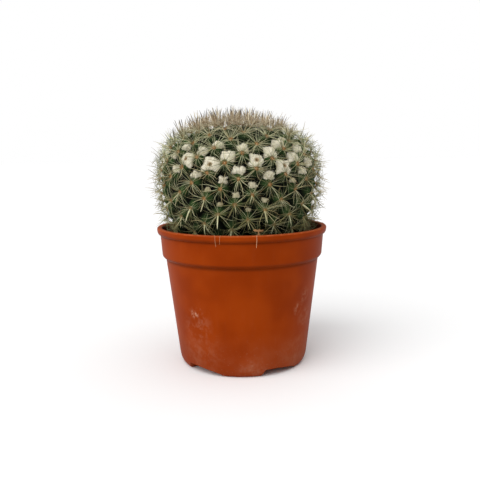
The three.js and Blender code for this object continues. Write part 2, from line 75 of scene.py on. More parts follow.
POT_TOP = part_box("pot")[1]
RIM_RADIUS = POT_TOP.x
POT_HEIGHT = POT_TOP.z
WALL = 1.2 * MM
LIP_HEIGHT = 4.3 * MM
LIP_ROUND = 1.0 * MM
COLLAR_TOP_RADIUS = 50.6 * MM
COLLAR_LOW_RADIUS = 49.7 * MM
COLLAR_LOW_Z = 68.8 * MM
COLLAR_ROUND = 1.1 * MM
SHOULDER_RADIUS = 47.5 * MM
SHOULDER_Z = 65.9 * MM
HEEL_RADIUS = 40.4 * MM
HEEL_Z = 6.5 * MM
HEEL_BEND = (39.7 * MM, 0.9 * MM)
FOOT_RADIUS = 37.3 * MM
FOOT_WIDTH = 2.9 * MM
FOOT_DRAFT = 0.3 * MM
FLOOR_Z = 4.4 * MM
FLOOR_THICKNESS = 1.6 * MM
FLOOR_CORNER = 2.0 * MM
POLE_RADIUS = 2.0 * MM
SHARP_ANGLE = math.radians(38)

# Drainage: notches through the foot ring, steep on one side and easing out on the other, a round
# hole in the floor behind each of them and one in the middle

NOTCH_COUNT = 5
NOTCH_AZIMUTH = math.radians(33.9)
NOTCH_HALF = math.radians(19.6)
NOTCH_STEEP = math.radians(5.0)
NOTCH_EASE = math.radians(24.6)
NOTCH_EASE_POWER = 0.45
NOTCH_LIFT = FLOOR_Z - 0.05 * MM
DRAIN_RADIUS = 3.5 * MM
DRAIN_RING_RADIUS = 25.0 * MM
CENTRE_DRAIN_RADIUS = 5.0 * MM

# Soil, and the crumbs on it. Crumbs stand off the wall by a gap and their own radius

SOIL_TOP_Z = 76.0 * MM
SOIL_CLEARANCE = 0.35 * MM
SOIL_LUMP = 6.5 * MM
SOIL_SWELL = 1.5
SOIL_NOISE = SimpleNamespace(smoothness=0.7, gap=2.1, octaves=4)
CRUMB_INNER_RADIUS = 33.0 * MM
CRUMB_GAP = 0.6 * MM
CRUMB_WIDEST = 1.3
CRUMB_SPREAD = (-0.35, 0.5)
CRUMB_SIZES = (0.25, 2.4)
CRUMB_TILT = 0.5
CRUMB_SEED = 7
LUMP_WIDTHS = (0.75, 1.25)
SOIL_HOLE = ((13.5 * MM, 57.0 * MM), (25.0 * MM, 63.3 * MM), (29.6 * MM, 69.4 * MM),
             (33.0 * MM, 72.6 * MM), (35.4 * MM, 75.4 * MM))
SOIL_HOLE_END_Z = 54.6 * MM

# Plant: the envelope runs through the tips of the tubercles

PLANT_X = -1.4 * MM
PLANT_RADIUS = 48.0 * MM
WIDEST_Z = 116.0 * MM
RISE_ABOVE = 32.0 * MM
FALL_BELOW = 55.0 * MM
ROUNDNESS = 2.3
DIMPLE_DEPTH = 2.0 * MM
DIMPLE_RADIUS = 9.0 * MM
MIDDLE_Z = 108.0 * MM
ENVELOPE_END_Z = 70.0 * MM
ENVELOPE_STEPS = 3000
ENVELOPE_EASE = 1.6
STUMP = ((64.0 * MM, 24.0 * MM), (57.5 * MM, 13.0 * MM))
STUMP_END_Z = 55.0 * MM

# Tubercles: they bud at the crown, each a fixed turn after the last, and their cells grow with
# the distance from it

DIVERGENCE = math.radians(137.565)
FIRST_AZIMUTH = math.radians(262.8)
FIRST_ORDER = 4.374
FIRST_TUBERCLE = 5
CELL_AREA = 115.2 * MM ** 2
BUD_AREA = 8.0 * MM ** 2
BUD_REACH = 10.91 * MM
BUD_POWER = 1.384
FULL_CELL = 11.0 * MM
SMALLEST_AREOLE = 0.5
YOUNGEST_AREOLE = 0.6
CROWN_REACH = 30.0 * MM
YOUNG_REACH = 20.0 * MM
LOWEST_TIP_Z = 77.0 * MM
LOWEST_AREOLE_Z = 80.0 * MM
FADE_LOW_Z = 72.0 * MM
FADED_CELL = 0.25
NECK_SIDES = 16
NECK_RADIUS = 32.0 * MM
NECK_Z = 71.0 * MM
JOIN_SHARE = 0.36
TUBERCLE_DEPTH = 0.46

# Needles: those on the shoulder are finer, those low down have a central one, and the crown's
# stand upright. Lengths and widths are drawn between two shares of the usual one

UPPER_Z = 120.0 * MM
CENTRAL_Z = 110.0 * MM
INNER_RISE = math.radians(30)
UPPER_RISE = math.radians(20)
CROWN_RISE = math.radians(42)
YOUNG_NEEDLE_REACH = 44.0 * MM
CROWN_LEAN = 0.12
CROWN_FADE = 0.28
FRONT_EDGE_Y = -8.0 * MM
FRONT_CUT = 0.9
LEFT_GROWTH = 0.22
LEFT_LIMITS = (-0.5, 0.8)
SHORTEST_NEEDLE = 1.5 * MM
NEEDLE_LENGTHS = (0.5, 1.3)
NEEDLE_WIDTHS = (0.6, 1.35)
NEEDLE_TWIST = 0.9
NEEDLE_BLUNTNESS = 0.03
NEEDLE_ROOT_LIFT = 0.2 * MM
NEEDLE_WALL_GAP = 0.8 * MM
NEEDLE_RIM_GAP = 0.6 * MM
NEEDLE_SOIL_GAP = 1.5 * MM

# Heights, and a radius, between which the plant's colours, its painted shade and its painted glow
# change

YOUNG_NEEDLE_Z = (138.0 * MM, 149.0 * MM)
OLD_NEEDLE_Z = (84.0 * MM, 112.0 * MM)
OLD_FELT_Z = (90.0 * MM, 118.0 * MM)
SHADED_SKIN_Z = (84.0 * MM, 104.0 * MM)
BASE_SHADE_Z = (78.0 * MM, 92.0 * MM)
GLOW_RADIUS = (48.0 * MM, 56.0 * MM)

# Wool: tufts fill most hollows of a band below the crown and some under it. Full-grown tufts have
# a pit, and small ones are wider than tall

WOOL_BAND_Z = 126.0 * MM
WOOL_BAND_HALF = 13.0 * MM
WOOL_LOWEST_Z = 98.0 * MM
WOOL_SINK = 0.8 * MM
WOOL_SEED = 20
WOOL_SETTLES = 0.32
WOOL_LUMP = 1.4 * MM
WOOL_ROUGHNESS = 0.85 * MM
WOOL_NOISE = SimpleNamespace(smoothness=0.8, gap=2.0, octaves=3)
WOOL_SIDEWAYS = 0.6
HAIR_LENGTHS = (0.5, 1.2)
LOBE_WIDTH = 0.34
LOBE_STRAY = 0.25
LOBE_REACHES = (0.6, 1.3)
LOBE_LIMIT = 1.2
LOBE_SHARE = 0.27
DRIFT_SHARE = 0.44
DRIFT_TURNS = 1.6
DRIFT_RANGE = 50
TUFT_CORE = 0.74
TUFT_STRETCH = 0.2
TUFT_FLATTEST = 0.45
TUFT_EDGE = 0.25
TUFT_FOOT = 0.2
TUFT_ROUNDNESS = (2.6, 0.6)
PITTED_SIZE = 0.92
PIT_SHARE = 0.28
PIT_DEPTH = 0.55
FULL_PIT = 0.6 * MM
CLOSED_PIT = 0.3
BAND_CHANCE = 0.9
BAND_FALL = 0.55
BAND_SPREAD = 0.2
LOW_CHANCE = 0.35
LOW_SIZE = 0.32
LOW_SPREAD = 0.3
FRONT_SIDE_Y = -6.0 * MM

# Tufts that the photo shows, by the number of the tubercle under each of them, with their sizes

FRONT_WOOL = {
    95: 1.0, 98: 1.0, 87: 0.95, 82: 0.8, 90: 0.95, 103: 0.72, 77: 0.85, 85: 0.85, 64: 0.8,
    74: 0.75, 72: 0.75, 69: 0.7, 93: 0.7, 61: 0.65, 66: 0.6, 111: 0.65, 106: 0.6, 100: 0.6,
    108: 0.6, 116: 0.55, 124: 0.5, 51: 0.5, 79: 0.55, 59: 0.45, 137: 0.42, 129: 0.3, 145: 0.36,
    150: 0.3, 158: 0.3, 119: 0.4,
}

# Dirt and painted light on the pot: dust up to a height, painted shade that thins out over and
# under two creases, a painted highlight along the lip's top, soil on the mouth's inside, and
# limescale, each mark with its azimuth, height, spread and strength

DUSTY_Z = 30.0 * MM
UNDER_LIP_Z = POT_HEIGHT - LIP_HEIGHT + 0.4 * MM
UNDER_LIP_REACH = (0.3 * MM, 1.9 * MM)
UNDER_COLLAR_Z = SHOULDER_Z + 0.4 * MM
UNDER_COLLAR_REACH = (0.7 * MM, 2.4 * MM)
LIP_HIGHLIGHT_Z = (POT_HEIGHT - 0.9 * MM, POT_HEIGHT - 0.2 * MM)
STAINED_Z = (SOIL_TOP_Z, SOIL_TOP_Z + 7.0 * MM)
LIMESCALE = (
    (math.radians(-39.7), 37.2 * MM, 3.0 * MM, 6.0),
    (math.radians(-35.5), 39.0 * MM, 3.4 * MM, 2.0),
    (math.radians(-38.0), 31.0 * MM, 12.0 * MM, 0.5),
    (math.radians(-40.0), 14.0 * MM, 20.0 * MM, 0.22),
    (math.radians(54.0), 46.0 * MM, 6.0 * MM, 0.9),
    (math.radians(47.0), 39.0 * MM, 5.0 * MM, 1.2),
    (math.radians(58.0), 32.0 * MM, 9.0 * MM, 0.5),
    (math.radians(52.0), 12.0 * MM, 14.0 * MM, 0.3),
    (math.radians(8.0), 4.0 * MM, 10.0 * MM, 0.5),
)

# Litter: a dry petal on a stalk and, for each stray thread, its place from side to side, its
# lean, its drop below the lip's top and its thickness

PETAL_X = 9.0 * MM
PETAL_HALF = 2.9 * MM
PETAL_FOOT = (-50.2 * MM, POT_HEIGHT + 0.1 * MM)
PETAL_CORNER = (-49.6 * MM, POT_HEIGHT + 2.2 * MM)
PETAL_TIP = (-46.4 * MM, POT_HEIGHT + 2.8 * MM)
PETAL_THICKNESS = 0.2 * MM
PETAL_CURL = 1.6 * MM
PETAL_NOTCH = 1.1 * MM
PETAL_NOISE = (4.3, 5.0, 4.0)
PETAL_RAGGED = 0.5
PETAL_STALK_WIDTH = 0.08
PETAL_STALK_END = 0.5
PETAL_WIDENS = 0.2
PETAL_DROOP = 0.4
THREADS = (
    (8.2 * MM, -0.5 * MM, 6.6 * MM, 1.0),
    (-15.3 * MM, 0.9 * MM, 6.0 * MM, 0.55),
    (-11.3 * MM, -1.2 * MM, 4.6 * MM, 0.5),
)

# Way of a thread over the lip, as its way out from the rim and up from the lip's top

THREAD_WAY = ((-4.6 * MM, -3.5 * MM), (-3.8 * MM, -1.2 * MM), (-2.9 * MM, 0.15 * MM),
              (-0.6 * MM, 0.2 * MM), (0.15 * MM, -0.4 * MM), (0.15 * MM, -2.2 * MM),
              (0.15 * MM, -4.2 * MM))
THREAD_END_OUT = -0.3 * MM
THREAD_WAVE = 0.12 * MM
THREAD_WAVE_STEP = 2.1
THREAD_WAVE_START = 400

# Camera and lights: angles in radians, lens and sensor in millimetres. Each light shines from a
# side and is soft by its spread

CAMERA_PLACE = (-1.16 * MM, -356.85 * MM, 127.0 * MM)
CAMERA_PITCH = -0.1436
CAMERA_ROLL = -0.0136
CAMERA_LENS = 42.97
CAMERA_SENSOR = 36.0
FLOOR_SPREAD = 20.0
KEY_SIDE = (-0.65, -0.75, 0.9)
KEY_SPREAD = math.radians(60)
TOP_SIDE = (0.1, -0.1, 1.0)
TOP_SPREAD = math.radians(80)


def paint(red, green, blue):
    """Linear colour with alpha, from the 0 to 255 values that a paint chart gives."""
    parts = [part / 255 for part in (red, green, blue)]
    linear = [p / 12.92 if p <= 0.04045 else ((p + 0.055) / 1.055) ** 2.4 for p in parts]
    return (*linear, 1.0)


# Node boards and the expressions on them


class Wire:
    """A node's output to compute with: each Python operator adds the Math node it stands for."""

    def __init__(self, board, socket):
        self.board = board
        self.socket = socket

    @property
    def is_vector(self):
        return self.socket.type in {"VECTOR", "RGBA"}

    def __add__(self, other):
        return self.board.math("ADD", self, other)

    def __radd__(self, other):
        return self.board.math("ADD", other, self)

    def __sub__(self, other):
        return self.board.math("SUBTRACT", self, other)

    def __rsub__(self, other):
        return self.board.math("SUBTRACT", other, self)

    def __mul__(self, other):
        return self.board.math("MULTIPLY", self, other)

    def __rmul__(self, other):
        return self.board.math("MULTIPLY", other, self)

    def __truediv__(self, other):
        return self.board.math("DIVIDE", self, other)

    def __rtruediv__(self, other):
        return self.board.math("DIVIDE", other, self)

    def __pow__(self, power):
        return self.board.math("POWER", self, power)


class Board:
    """A node tree that nodes are laid on."""

    def __init__(self, tree):
        self.tree = tree

    def node(self, kind, sockets=None, out=0, **settings):
        """Adds a node, gives it its settings and then its sockets, and returns its output."""
        node = self.tree.nodes.new(kind)
        for name, value in settings.items():
            setattr(node, name, value)
        for key, value in (sockets or {}).items():
            self.feed(self.pick(node.inputs, key), value)
        if isinstance(out, tuple):
            return tuple(Wire(self, self.pick(node.outputs, name)) for name in out)
        return Wire(self, self.pick(node.outputs, out)) if len(node.outputs) else None

    def pick(self, sockets, key):
        """The live socket with a name or a place in the list."""
        live = [socket for socket in sockets if socket.enabled]
        if isinstance(key, int):
            return live[key]
        return next(socket for socket in live if socket.name == key)

    def feed(self, socket, value):
        if isinstance(value, Wire):
            self.tree.links.new(value.socket, socket)
        else:
            socket.default_value = value

    def math(self, operation, *terms):
        """Arithmetic on numbers, or on vectors where a term is one."""
        vectors = [isinstance(term, Wire) and term.is_vector for term in terms]
        kind = "ShaderNodeVectorMath" if any(vectors) else "ShaderNodeMath"
        sockets = dict(enumerate(terms))
        if operation == "MULTIPLY" and any(vectors) and not all(vectors):
            operation = "SCALE"
            vector, factor = terms if vectors[0] else terms[::-1]
            sockets = {"Vector": vector, "Scale": factor}
        return self.node(kind, sockets, operation=operation)

    def clamp(self, value):
        return self.node("ShaderNodeClamp", {"Value": value})

    def ramp(self, value, low, high):
        """0 below low and 1 above high, with a smooth step between them."""
        sockets = {"Value": value, "From Min": low, "From Max": high}
        return self.node("ShaderNodeMapRange", sockets, interpolation_type="SMOOTHSTEP")

    def mix(self, factor, first, second):
        """Colour between two colours."""
        sockets = {"Factor": factor, "A": first, "B": second}
        return self.node("ShaderNodeMix", sockets, data_type="RGBA")

    def coats(self, colour, *coats):
        """Lays colours over a first one, each as thick as its mask says."""
        for mask, coat in coats:
            colour = self.mix(mask, colour, coat)
        return colour

    def split(self, vector):
        return self.node("ShaderNodeSeparateXYZ", {0: vector}, ("X", "Y", "Z"))

    def join(self, x, y, z):
        return self.node("ShaderNodeCombineXYZ", {"X": x, "Y": y, "Z": z})

    def length(self, vector):
        return self.node("ShaderNodeVectorMath", {0: vector}, "Value", operation="LENGTH")

    def radius(self, x, y):
        """Distance from an upright axis."""
        return self.length(self.join(x, y, 0))

    def noise(self, size, detail, place=None, roughness=0.5):
        """Noise from 0 to 1, with lumps about as wide as size."""
        sockets = {"Vector": place or self.place, "Scale": 1 / size, "Detail": detail,
                   "Roughness": roughness}
        return self.node("ShaderNodeTexNoise", sockets, "Fac")


# Geometry trees


class Grower(Board):
    """A geometry node tree with named inputs, which makes one kind of piece."""

    def __init__(self, name, **inputs):
        """Each input is given as its default number, or as the kind of thing it takes."""
        super().__init__(bpy.data.node_groups.new(name, "GeometryNodeTree"))
        face = self.tree.interface
        face.new_socket("Geometry", in_out="INPUT", socket_type="NodeSocketGeometry")
        for label, value in inputs.items():
            kind = value if isinstance(value, str) else type(value).__name__.title()
            entry = face.new_socket(label.replace("_", " "), in_out="INPUT",
                                    socket_type=f"NodeSocket{kind}")
            if kind != value:
                entry.default_value = value
        face.new_socket("Geometry", in_out="OUTPUT", socket_type="NodeSocketGeometry")
        self.entry = self.tree.nodes.new("NodeGroupInput")
        self.place = self.node("GeometryNodeInputPosition")

    def __getitem__(self, label):
        return Wire(self, self.entry.outputs[label])

    def random(self, low, high, stream):
        """A number for each element. Each stream gives other numbers from the same seed."""
        sockets = {"Min": low, "Max": high, "Seed": self["Seed"] + stream}
        return self.node("FunctionNodeRandomValue", sockets, data_type="FLOAT")

    def stray(self, stream):
        """A direction at random for each element, from three streams."""
        return self.join(*[self.random(-1.0, 1.0, stream + i) for i in range(3)])

    def normal(self):
        return self.node("GeometryNodeInputNormal", out="Normal")

    def attribute(self, name, kind="FLOAT"):
        return self.node("GeometryNodeInputNamedAttribute", {"Name": name}, data_type=kind)

    def store(self, geometry, name, value, domain="POINT"):
        sockets = {"Geometry": geometry, "Name": name, "Value": value}
        return self.node("GeometryNodeStoreNamedAttribute", sockets, data_type="FLOAT",
                         domain=domain)

    def shift(self, geometry, offset):
        return self.node("GeometryNodeSetPosition", {"Geometry": geometry, "Offset": offset})

    def axes(self, main, side):
        """Turn that lays +Z along main and +X as near side as it goes."""
        sockets = {"Primary Axis": main, "Secondary Axis": side}
        return self.node("FunctionNodeAxesToRotation", sockets, primary_axis="Z",
                         secondary_axis="X")

    def put(self, shape, points, turn, size, chosen=None):
        """Puts a copy of the shape on each point, or on each chosen one."""
        sockets = {"Points": points, "Instance": shape, "Rotation": turn, "Scale": size}
        if chosen:
            sockets["Selection"] = chosen
        placed = self.node("GeometryNodeInstanceOnPoints", sockets)
        return self.store(placed, "tint", self.random(0.0, 1.0, 9), "INSTANCE")

    def needle(self, steps, sides, slimness, bow):
        """A bowed needle of length 1 along +Z. It stores how far along it each point lies."""
        line = self.node("GeometryNodeCurveQuadraticBezier", {
            "Resolution": steps, "Start": (0, 0, 0), "Middle": self.join(bow, 0, 0.5),
            "End": (0, 0, 1)})
        along = self.node("GeometryNodeSplineParameter", out="Factor")
        outline = self.node("GeometryNodeCurvePrimitiveCircle", {
            "Resolution": sides, "Radius": slimness * 0.5})
        return self.node("GeometryNodeCurveToMesh", {
            "Curve": self.store(line, "along", along), "Profile Curve": outline,
            "Scale": (1 + NEEDLE_BLUNTNESS - along) ** 0.5, "Fill Caps": True})

    def real(self, geometry):
        return self.node("GeometryNodeRealizeInstances", {"Geometry": geometry})

    def finish(self, geometry):
        """Makes instances real, smooths the faces and gives them the input material."""
        smooth = self.node("GeometryNodeSetShadeSmooth", {"Geometry": self.real(geometry)})
        painted = self.node("GeometryNodeSetMaterial", {
            "Geometry": smooth, "Material": self["Material"]})
        self.node("NodeGroupOutput", {"Geometry": painted})
        return self.tree


def tubercle_tree():
    """Sinks a smooth stem between the tips of its tubercles, deepest along the creases."""
    board = Grower("Tubercles", Tips="Object", Creases="Object", Depth=TUBERCLE_DEPTH,
                   Roundness=1.5, Material="Material")

    def distance(target, element):
        shape = board.node("GeometryNodeObjectInfo", {"Object": target}, "Geometry")
        return board.node("GeometryNodeProximity", {0: shape}, "Distance", target_element=element)

    to_tip = distance(board["Tips"], "POINTS")
    to_crease = distance(board["Creases"], "EDGES")
    hollow = to_tip / (to_tip + to_crease + 1e-6)
    sink = board.attribute("cell") * board["Depth"] * hollow ** board["Roundness"]
    level = board.split(board.normal())[2]
    kept = board.store(board.store(board["Geometry"], "hollow", hollow), "level", level)
    return board.finish(board.shift(kept, board.normal() * (sink * -1)))


def needle_tree():
    """Grows a fan of needles from each areole, short of the pot's wall and of the soil."""
    board = Grower(
        "Needles", Count=18, Length=8.6 * MM, Slimness=0.045, Ring=0.9 * MM, First_angle=0.0,
        Sway=0.5, Rise=0.35, Crown_rise=0.4, Scatter=0.4, Lift=0.0, Bow=0.1, Steps=4, Sides=4,
        Seed=1, Wall_radius=COLLAR_LOW_RADIUS - WALL - NEEDLE_WALL_GAP,
        Rim_height=POT_HEIGHT + NEEDLE_RIM_GAP, Soil_height=SOIL_TOP_Z + NEEDLE_SOIL_GAP,
        Material="Material")
    points, place = board.node(
        "GeometryNodeDuplicateElements",
        {"Geometry": board["Geometry"], "Amount": board["Count"]},
        ("Geometry", "Duplicate Index"), domain="POINT")
    out = board.attribute("out", "FLOAT_VECTOR")
    up = board.attribute("up", "FLOAT_VECTOR")
    right = board.math("CROSS_PRODUCT", up, out)
    size = board.attribute("size")

    sway = board["Sway"] * board.random(-1.0, 1.0, 1)
    angle = board["First angle"] + place * (math.tau / board["Count"]) + sway
    rise = (board["Rise"] + board.attribute("crown") * board["Crown rise"]
            + board.random(-1.0, 1.0, 2) * board["Scatter"])
    fan = right * board.math("COSINE", angle) + up * board.math("SINE", angle)
    spread = fan * board.math("COSINE", rise) + out * board.math("SINE", rise)
    aim = board.math("NORMALIZE", spread + board.join(0, 0, board["Lift"]))
    start = fan * (size * board["Ring"]) + out * (size * NEEDLE_ROOT_LIFT)
    wanted = board["Length"] * size * board.random(*NEEDLE_LENGTHS, 3)

    root_x, root_y, root_z = board.split(board.place + start)
    far_x, far_y, far_z = board.split(board.place + start + aim * wanted)
    near = board.radius(root_x, root_y)
    reach = board.radius(far_x, far_y)
    past_wall = (board.math("GREATER_THAN", reach, board["Wall radius"])
                 * board.math("LESS_THAN", far_z, board["Rim height"]))
    in_soil = board.math("LESS_THAN", far_z, board["Soil height"])
    wall_share = board.clamp((board["Wall radius"] - near) / (reach - near + 1e-6))
    soil_share = board.clamp((root_z - board["Soil height"]) / (root_z - far_z + 1e-6))
    share = (1 - past_wall * (1 - wall_share)) * (1 - in_soil * (1 - soil_share))

    rooted = board.shift(board.store(points, "span", wanted * share), start)
    span = board.attribute("span")
    shape = board.needle(board["Steps"], board["Sides"], board["Slimness"], board["Bow"])
    twist = (-NEEDLE_TWIST, NEEDLE_TWIST)
    side = out + right * board.random(*twist, 4) + up * board.random(*twist, 5)
    long_enough = board.math("GREATER_THAN", span, SHORTEST_NEEDLE)
    thick = span * board.random(*NEEDLE_WIDTHS, 6)
    size = board.join(thick, thick, span)
    return board.finish(board.put(shape, rooted, board.axes(aim, side), size, long_enough))


def fuzz_tree():
    """Covers the open part of a surface with fine curling hairs."""
    board = Grower("Fuzz", Density=2.0e6, Length=1.4 * MM, Slimness=0.07, Lean=0.8, Bow=0.3,
                   Seed=1, Material="Material")
    sockets = {
        "Mesh": board["Geometry"], "Density": board["Density"], "Seed": board["Seed"],
        "Selection": board.math("GREATER_THAN", board.attribute("open"), 0.5)}
    points, normal = board.node("GeometryNodeDistributePointsOnFaces", sockets,
                                ("Points", "Normal"))
    aim = normal + board.stray(1) * board["Lean"]
    span = board["Length"] * board.random(*HAIR_LENGTHS, 7)
    shape = board.needle(3, 3, board["Slimness"], board["Bow"])
    turn = board.axes(aim, board.stray(4))
    return board.finish(board.put(shape, points, turn, board.join(span, span, span)))


def lump_tree():
    """Puts an uneven lump on each point, flattened along the way out."""
    board = Grower("Lumps", Radius=1 * MM, Flatness=0.6, Unevenness=0.3, Grain=1 * MM,
                   Detail=2, Seed=1, Material="Material")
    ball = board.node("GeometryNodeMeshIcoSphere", {
        "Radius": 1.0, "Subdivisions": board["Detail"]}, "Mesh")
    radius = board["Radius"] * board.attribute("size")
    size = board.join(radius * board.random(*LUMP_WIDTHS, 4), radius, radius * board["Flatness"])
    turn = board.axes(board.attribute("out", "FLOAT_VECTOR"), board.stray(1))
    lumps = board.real(board.put(ball, board["Geometry"], turn, size))
    rough = board.noise(board["Grain"], 2.0)
    swell = (rough - 0.5) * board["Unevenness"] * board["Radius"] * 2
    return board.finish(board.shift(lumps, board.normal() * swell))


# Mesh helpers


def full_turn(sides):
    """Azimuths at even steps all the way round."""
    return np.arange(sides) * math.tau / sides


def polar(radius, azimuth, z, axis_x=0.0):
    """Points at a radius, an azimuth and a height, about an upright axis."""
    radius, azimuth, z = np.broadcast_arrays(radius, azimuth, z)
    return np.stack([axis_x + radius * np.sin(azimuth), -radius * np.cos(azimuth), z], axis=-1)


def bend(start, corner, end, steps):
    """Points along a bend from start to end, pulled towards a corner."""
    t = np.linspace(0, 1, steps + 1)[:, None]
    a, b, c = (np.array(point) for point in (start, corner, end))
    return [tuple(p) for p in (1 - t) ** 2 * a + 2 * t * (1 - t) * b + t ** 2 * c]


def line(start, end, steps):
    """Points on the way from start to end, both left out."""
    t = np.linspace(0, 1, steps + 1)[1:-1, None]
    return [tuple(p) for p in (1 - t) * np.array(start) + t * np.array(end)]


def ripple(place, lump, kind):
    """Noise of several sizes at a place, the largest with lumps about as wide as lump."""
    return noise.fractal(Vector(place) / lump, kind.smoothness, kind.gap, kind.octaves)


def turned_faces(rows, columns, first=0):
    """Faces of a closed body whose points are a pole, the rings and another pole."""
    last = first + 1 + (rows - 1) * columns
    faces = []
    for i in range(columns):
        after = (i + 1) % columns
        faces.append((first, first + 1 + after, first + 1 + i))
        for low in range(first + 1, last, columns):
            high = low + columns
            faces.append((low + i, low + after, high + after, high + i))
        faces.append((last + i, last + after, last + columns))
    return faces


def turned_mesh(name, rings, top, bottom):
    """A closed mesh of rings of points, with a pole before the first and after the last."""
    rows, columns = rings.shape[:2]
    points = np.concatenate([[top], rings.reshape(-1, 3), [bottom]])
    return closed_mesh(name, points, turned_faces(rows, columns))


@contextmanager
def edited(mesh):
    """The mesh in a form that can be changed, which is written back at the end."""
    shell = bmesh.new()
    shell.from_mesh(mesh)
    yield shell
    shell.to_mesh(mesh)
    shell.free()


def closed_mesh(name, points, faces):
    """A smooth mesh whose faces are turned outwards."""
    mesh = bpy.data.meshes.new(name)
    mesh.from_pydata(np.asarray(points).tolist(), [], faces)
    with edited(mesh) as shell:
        bmesh.ops.recalc_face_normals(shell, faces=shell.faces)
    mesh.polygons.foreach_set("use_smooth", [True] * len(mesh.polygons))
    mesh.update()
    return mesh


def add_attribute(mesh, label, values):
    values = np.asarray(values, dtype=np.float32)
    kind, field = ("FLOAT_VECTOR", "vector") if values.ndim == 2 else ("FLOAT", "value")
    layer = mesh.attributes.new(label, kind, "POINT")
    layer.data.foreach_set(field, values.ravel())


def point_mesh(name, points, edges=(), **attributes):
    """Points that carry numbers and directions for a geometry tree."""
    mesh = bpy.data.meshes.new(name)
    mesh.from_pydata(np.asarray(points).tolist(), list(edges), [])
    for label, values in attributes.items():
        add_attribute(mesh, label, values)
    return mesh


def add_object(name, data):
    made = bpy.data.objects.new(name, data)
    bpy.context.scene.collection.objects.link(made)
    return made


def show(mesh, material=None):
    """Puts a mesh in the scene as an object of the same name."""
    if material:
        mesh.materials.append(material)
    return add_object(mesh.name, mesh)


def discard(*pieces):
    for piece in pieces:
        mesh = piece.data
        bpy.data.objects.remove(piece)
        bpy.data.meshes.remove(mesh)


def plain_mesh(piece, name):
    """The mesh that an object's curve or modifiers make, with a name of its own."""
    graph = bpy.context.evaluated_depsgraph_get()
    mesh = bpy.data.meshes.new_from_object(
        piece.evaluated_get(graph), preserve_all_data_layers=True, depsgraph=graph)
    mesh.name = name
    return mesh


def carry(piece, slot, *nodes):
    """Lets a finished piece ride on the body and stand for the solids that it replaces."""
    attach(piece, BODY)
    if nodes:
        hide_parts(*nodes)


def grow(tree, name, source, slot, *nodes, **values):
    """Runs a geometry tree on a mesh and carries the plain mesh piece that it makes."""
    piece = add_object(name, source)
    modifier = piece.modifiers.new(name, "NODES")
    modifier.node_group = tree
    entries = {item.name: item.identifier for item in tree.interface.items_tree
               if item.in_out == "INPUT"}
    for label, value in values.items():
        modifier[entries[label.replace("_", " ")]] = value
    mesh = plain_mesh(piece, name)
    piece.modifiers.remove(modifier)
    piece.data = mesh
    bpy.data.meshes.remove(source)
    if not len(mesh.polygons):
        raise RuntimeError(f"{name} is empty")
    carry(piece, slot, *nodes)


# The plant's outline and the places on it


def envelope_radius(z):
    half = np.where(z > WIDEST_Z, RISE_ABOVE, FALL_BELOW)
    share = np.abs(z - WIDEST_Z) / half
    return PLANT_RADIUS * np.sqrt(np.maximum(0, 1 - share ** ROUNDNESS))


def cell_area(s):
    return CELL_AREA * (1 - np.exp(-((s / BUD_REACH) ** BUD_POWER))) + BUD_AREA


def table_outline():
    """Rows down the outline: radius, height, way from the crown, tubercles passed, slope and the
    angle off the top as seen from the plant's middle."""
    top = WIDEST_Z + RISE_ABOVE
    z = top - (top - ENVELOPE_END_Z) * np.linspace(0, 1, ENVELOPE_STEPS + 1) ** ENVELOPE_EASE
    r = envelope_radius(z)
    step = np.hypot(np.diff(r), np.diff(z))
    s = np.concatenate([[0], np.cumsum(step)])
    passed = math.pi * (r[1:] + r[:-1]) * step / cell_area(s[1:] - step / 2)
    order = FIRST_ORDER + np.concatenate([[0], np.cumsum(passed)])
    slope = np.arctan2(-np.gradient(z, s), np.gradient(r, s))
    return {"r": r, "z": z, "s": s, "order": order, "slope": slope,
            "lean": np.arctan2(r, z - MIDDLE_Z)}


OUTLINE = table_outline()


def place_on(column, values, azimuths):
    """Places on the outline, with the directions right, up and out of the plant there."""
    row = {name: np.interp(values, OUTLINE[column], OUTLINE[name]) for name in OUTLINE}
    dimple = DIMPLE_DEPTH * np.exp(-((row["r"] / DIMPLE_RADIUS) ** 2))
    right = np.stack([np.cos(azimuths), np.sin(azimuths), np.zeros_like(azimuths)], axis=-1)
    out = polar(np.sin(row["slope"]), azimuths, np.cos(row["slope"]))
    return SimpleNamespace(
        point=polar(row["r"], azimuths, row["z"] - dimple, PLANT_X), right=right, out=out,
        up=np.cross(out, right), s=row["s"], z=row["z"], size=np.sqrt(cell_area(row["s"])))


def tubercle_tips():
    last = np.interp(-LOWEST_TIP_Z, -OUTLINE["z"], OUTLINE["order"])
    orders = np.arange(FIRST_TUBERCLE, int(last) + 1)
    return place_on("order", orders, FIRST_AZIMUTH + orders * DIVERGENCE)


def along_direction(spokes):
    """Places on the outline in the directions given, seen from the plant's middle."""
    spokes = np.atleast_2d(spokes)
    lean = np.arccos(np.clip(spokes[:, 2], -1, 1))
    return place_on("lean", lean, np.arctan2(spokes[:, 0], -spokes[:, 1]))


